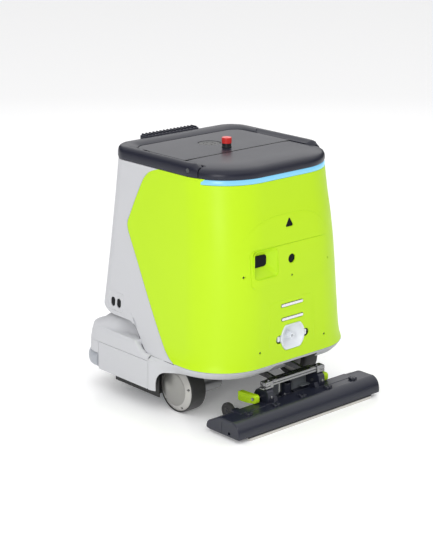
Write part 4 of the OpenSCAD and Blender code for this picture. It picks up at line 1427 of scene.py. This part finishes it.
def build_clamps():
    parts = []
    for sign in (-1, 1):
        x0, x1 = sorted((sign * 79.6, sign * 107))
        block = soft_box("p", (x0, -253, 87.6), (x1, -227.6, 108.4), 2.4, 5.0, "x")
        bore = lathe("t", "x", (0, *BAR_AXIS), [(0.0, sign * 70), (4.15, sign * 70), (4.15, sign * 120),
                                              (0.0, sign * 120)], 32)
        slot_lo, slot_hi = sorted((sign * 90, sign * 112))
        slit = soft_box("t", (slot_lo, -256, 96.4), (slot_hi, -236, 98.4), 0.4, 0.8)
        cut(block, [bore, slit])
        parts.append(block)
        # Cast ears, screws and the bolt that carries the latch
        parts.append(side_box("p", sign, (84, 99), (-253.5, 100.5), (-244, 106.5), 1.4, 2.4))
        parts.append(side_box("p", sign, (101, 112), (-247, 88.6), (-231, 93.6), 1.2, 2.0))
        parts.append(lathe("p", "z", (sign * 88, -240, 0),
                           [(0.0, 110.2), (3.4, 110.2), (3.8, 109.6), (3.8, 107.5), (0.0, 107.5)], 24))
        parts.append(side_rod("p", sign, (79, 137), LATCH_PIN, 3.95, 32))
        # Bright bolt head on the rear of each lug
        parts.append(lathe("p", "y", (sign * 93, 0, 68),
                           [(0.0, -259.8), (3.0, -259.8), (3.9, -259.0), (4.1, -258.0),
                           (4.1, -255), (0.0, -255)], 24))
    finish_piece(join("cast_clamps", parts), "squeegee", "lift_metal", ["pivot_clamps"])


def build_lift():
    parts = []
    for sign in (-1, 1):
        x0, x1 = sorted((sign * 48, sign * 56))
        n = 9
        outline = []
        for k in range(n):
            a = math.pi / 2 + math.pi * k / (n - 1) - 0.08
            outline.append((-221 + 7 * math.cos(a), BAR_AXIS[1] + 7 * math.sin(a)))
        for k in range(n):
            a = -math.pi / 2 + math.pi * k / (n - 1) - 0.02
            outline.append((LIFT_PIVOT[0] + 10 * math.cos(a), LIFT_PIVOT[1] + 10 * math.sin(a)))
        arm = prism("p", "x", outline, x0, x1)
        round_edges(arm, 1.0, 2)
        parts.append(arm)
        parts.append(side_rod("p", sign, (12, 70), LIFT_PIVOT, 4.95, 32))
        parts.append(side_rod("p", sign, (70, 103), BAR_AXIS, 3.95, 32))
    # Extruded crossbar with three grooves on top and one behind
    bar = soft_box("p", (-79.2, -249, 93.4), (79.2, -223, 107.4), 0.9, 2.0, "x")
    tools = [soft_box("t", (-90, y - 1.3, 103.4), (90, y + 1.3, 108), 0.3, 0.6, "x")
             for y in (-241.0, -235.0, -229.0)]
    tools.append(soft_box("t", (-90, -251, 99.6), (90, -245.6, 102.2), 0.3, 0.6, "x"))
    cut(bar, tools)
    parts.append(bar)
    for sign in (-1, 1):
        parts.append(side_box("p", sign, (60, 77.5), (-245.4, 104.4), (-225, 108.2), 1.2, 2.4))
    finish_piece(join("lift_arms_and_bar", parts), "lift", "lift_metal", ["lift_frame"])


def build_latches():
    profile = [(-240.6, 60), (-239.0, 55), (-233, 52.6), (-222, 51.2), (-206, 48.6), (-190, 47.4),
               (-176, 47.2), (-173.6, 48.4), (-173, 51), (-173, 69), (-174, 72), (-177, 73.4),
               (-200, 74.0), (-234, 75.4), (-238.6, 74), (-240.6, 70)]
    for sign, side in ((-1, "left"), (1, "right")):
        x0, x1 = sorted((sign * 118.4, sign * 133.8))
        lever = prism("p", "x", profile, x0, x1)
        round_edges(lever, 1.8, 3, 30)
        tools = [lathe("t", "x", (0, *LATCH_PIN), [(0.0, sign * 110), (4.1, sign * 110), (4.1, sign * 128),
                                                 (0.0, sign * 128)], 32)]
        for face in (117.6, 134.6):
            for z in (52.5, 59.5, 66.5):
                lo, hi = sorted((sign * (face - 1.6), sign * (face + 1.6)))
                tools.append(soft_box("t", (lo, -222, z - 1.5), (hi, -174, z + 1.5), 0.7, 1.2, "x"))
        cut(lever, tools)
        lever.name = "squeegee_latch_" + side
        finish_piece(lever, "latch_" + side, "green_shell", ["latch_" + side])


# ---------------------------------------------------------------- trim and carried-over parts
def build_trim():
    parts = []
    for x, z in (*SCREWS, PANEL_SCREW):
        y = rear_surface(x, z) + (0.6 if (x, z) == PANEL_SCREW else 2.4)
        head = soft_prism("p", "y", disc_at(2.9, 20, (x, z)), y, y + 4, 0.5)
        socket = prism("t", "y", outline_circle(1.3, 6, (x, z)), y - 3, y + 1.6)
        cut(head, [socket])
        parts.append(head)
    for sign in (-1, 1):
        lo, hi = sorted((sign * 218.0, sign * 223.2))
        parts.append(soft_prism("p", "x", disc_at(6.3, 40, RIM_PLUG), lo, hi, 0.7))
    finish_piece(join("screws_and_plugs", parts), "frame", "trim_dark", ["trim_plugs"])


CARRIED = {
    "chassis": "chassis_paint", "brush_frame": "chassis_paint", "lid_hinge_pins": "steel",
    "drive_unit_left": "steel", "drive_unit_right": "steel", "caster_fork_left": "steel",
    "caster_fork_right": "steel", "brush_motor": "steel", "lift_motor": "steel", "battery": "black_plastic",
    "fan_motor": "black_plastic", "water_pump": "black_plastic", "control_unit": "board",
    "clean_tank": "tank_plastic", "waste_tank": "tank_plastic", "clean_cap": "cap_blue",
    "waste_cap": "cap_blue",
}


def dress_carried():
    """CAD parts whose shape is right keep it, with softened edges and a proper material."""
    for node, slot in CARRIED.items():
        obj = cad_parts[node]
        obj.data.materials.clear()
        obj.data.materials.append(MATS[slot])
        for poly in obj.data.polygons:
            poly.material_index = 0
        edge = obj.modifiers.new("edge", "BEVEL")
        edge.width = 0.5 * MM
        edge.segments = 2
        edge.limit_method = "ANGLE"
        edge.angle_limit = math.radians(50)


# ---------------------------------------------------------------- stage and light
DOME_LOW, DOME_HIGH = 0.06, 1.34
FLOOR_LIFT = 0.14
FLOOR_HALF = 14.0
# Name, place, target, size and power
LAMPS = (
    ("key", (-2.0, -1.35, 0.9), (-0.2, -0.2, 0.4), (0.7, 0.7), 14.5),
    ("right", (1.6, -2.8, 1.3), (0, 0, 0.4), (1.4, 1.4), 5.0),
    ("left", (-2.8, 1.4, 1.3), (0, 0, 0.4), (1.4, 1.4), 0.3),
    ("back", (2.5, 2.8, 1.75), (0, 0, 0.5), (3.0, 1.0), 12.0),
)


def build_stage():
    mat = bpy.data.materials.new("studio_floor")
    mat.use_nodes = True
    bsdf = mat.node_tree.nodes["Principled BSDF"]
    bsdf.inputs["Base Color"].default_value = (0.93, 0.93, 0.935, 1.0)
    bsdf.inputs["Roughness"].default_value = 0.28
    bsdf.inputs["Specular IOR Level"].default_value = 0.22
    bsdf.inputs["Emission Color"].default_value = (1.0, 1.0, 1.0, 1.0)
    bsdf.inputs["Emission Strength"].default_value = FLOOR_LIFT
    mesh = bpy.data.meshes.new("floor")
    size = FLOOR_HALF
    mesh.from_pydata([(-size, -size, 0), (size, -size, 0), (size, size, 0), (-size, size, 0)], [],
                     [(0, 1, 2, 3)])
    floor = bpy.data.objects.new("floor", mesh)
    bpy.context.scene.collection.objects.link(floor)
    mesh.materials.append(mat)


def area_light(name, at, target, size, power):
    data = bpy.data.lights.new(name, "AREA")
    data.shape = "RECTANGLE"
    data.size, data.size_y = size
    data.energy = power
    lamp = bpy.data.objects.new(name, data)
    bpy.context.scene.collection.objects.link(lamp)
    lamp.location = at
    lamp.rotation_euler = (Vector(target) - Vector(at)).to_track_quat("-Z", "Y").to_euler()


def build_light():
    """A dome that is bright overhead and dim near the horizon, and soft boxes."""
    world = bpy.data.worlds.new("studio")
    bpy.context.scene.world = world
    world.use_nodes = True
    nodes, links = world.node_tree.nodes, world.node_tree.links
    back = nodes["Background"]
    coords = nodes.new("ShaderNodeTexCoord")
    split = nodes.new("ShaderNodeSeparateXYZ")
    level = nodes.new("ShaderNodeMapRange")
    level.interpolation_type = "SMOOTHSTEP"
    level.inputs["From Min"].default_value = 0.15
    level.inputs["From Max"].default_value = 0.75
    level.inputs["To Min"].default_value = DOME_LOW
    level.inputs["To Max"].default_value = DOME_HIGH
    links.new(coords.outputs["Generated"], split.inputs["Vector"])
    links.new(split.outputs["Z"], level.inputs["Value"])
    links.new(level.outputs["Result"], back.inputs["Strength"])
    back.inputs["Color"].default_value = (1.0, 1.0, 1.0, 1.0)
    for lamp in LAMPS:
        area_light(*lamp)
    scene = bpy.context.scene
    scene.view_settings.view_transform = "Standard"
    scene.view_settings.look = "None"
    scene.view_settings.exposure = 0.0


build_rear_cover()
build_rear_panel()
build_front_shell()
build_sensor_lenses()
build_contacts()
build_port()
build_light_strip()
build_rear_cap()
build_top_rim()
build_grip()
build_lid()
build_display()
build_deck()
build_neck()
build_bumper()
build_skirt()
build_gaskets()
build_wheels()
build_small_wheels()
build_rollers()
build_splash_skirt()
build_head()
build_blades()
build_knobs()
build_carrier()
build_clamps()
build_lift()
build_latches()
build_trim()
dress_carried()
build_stage()
build_light()
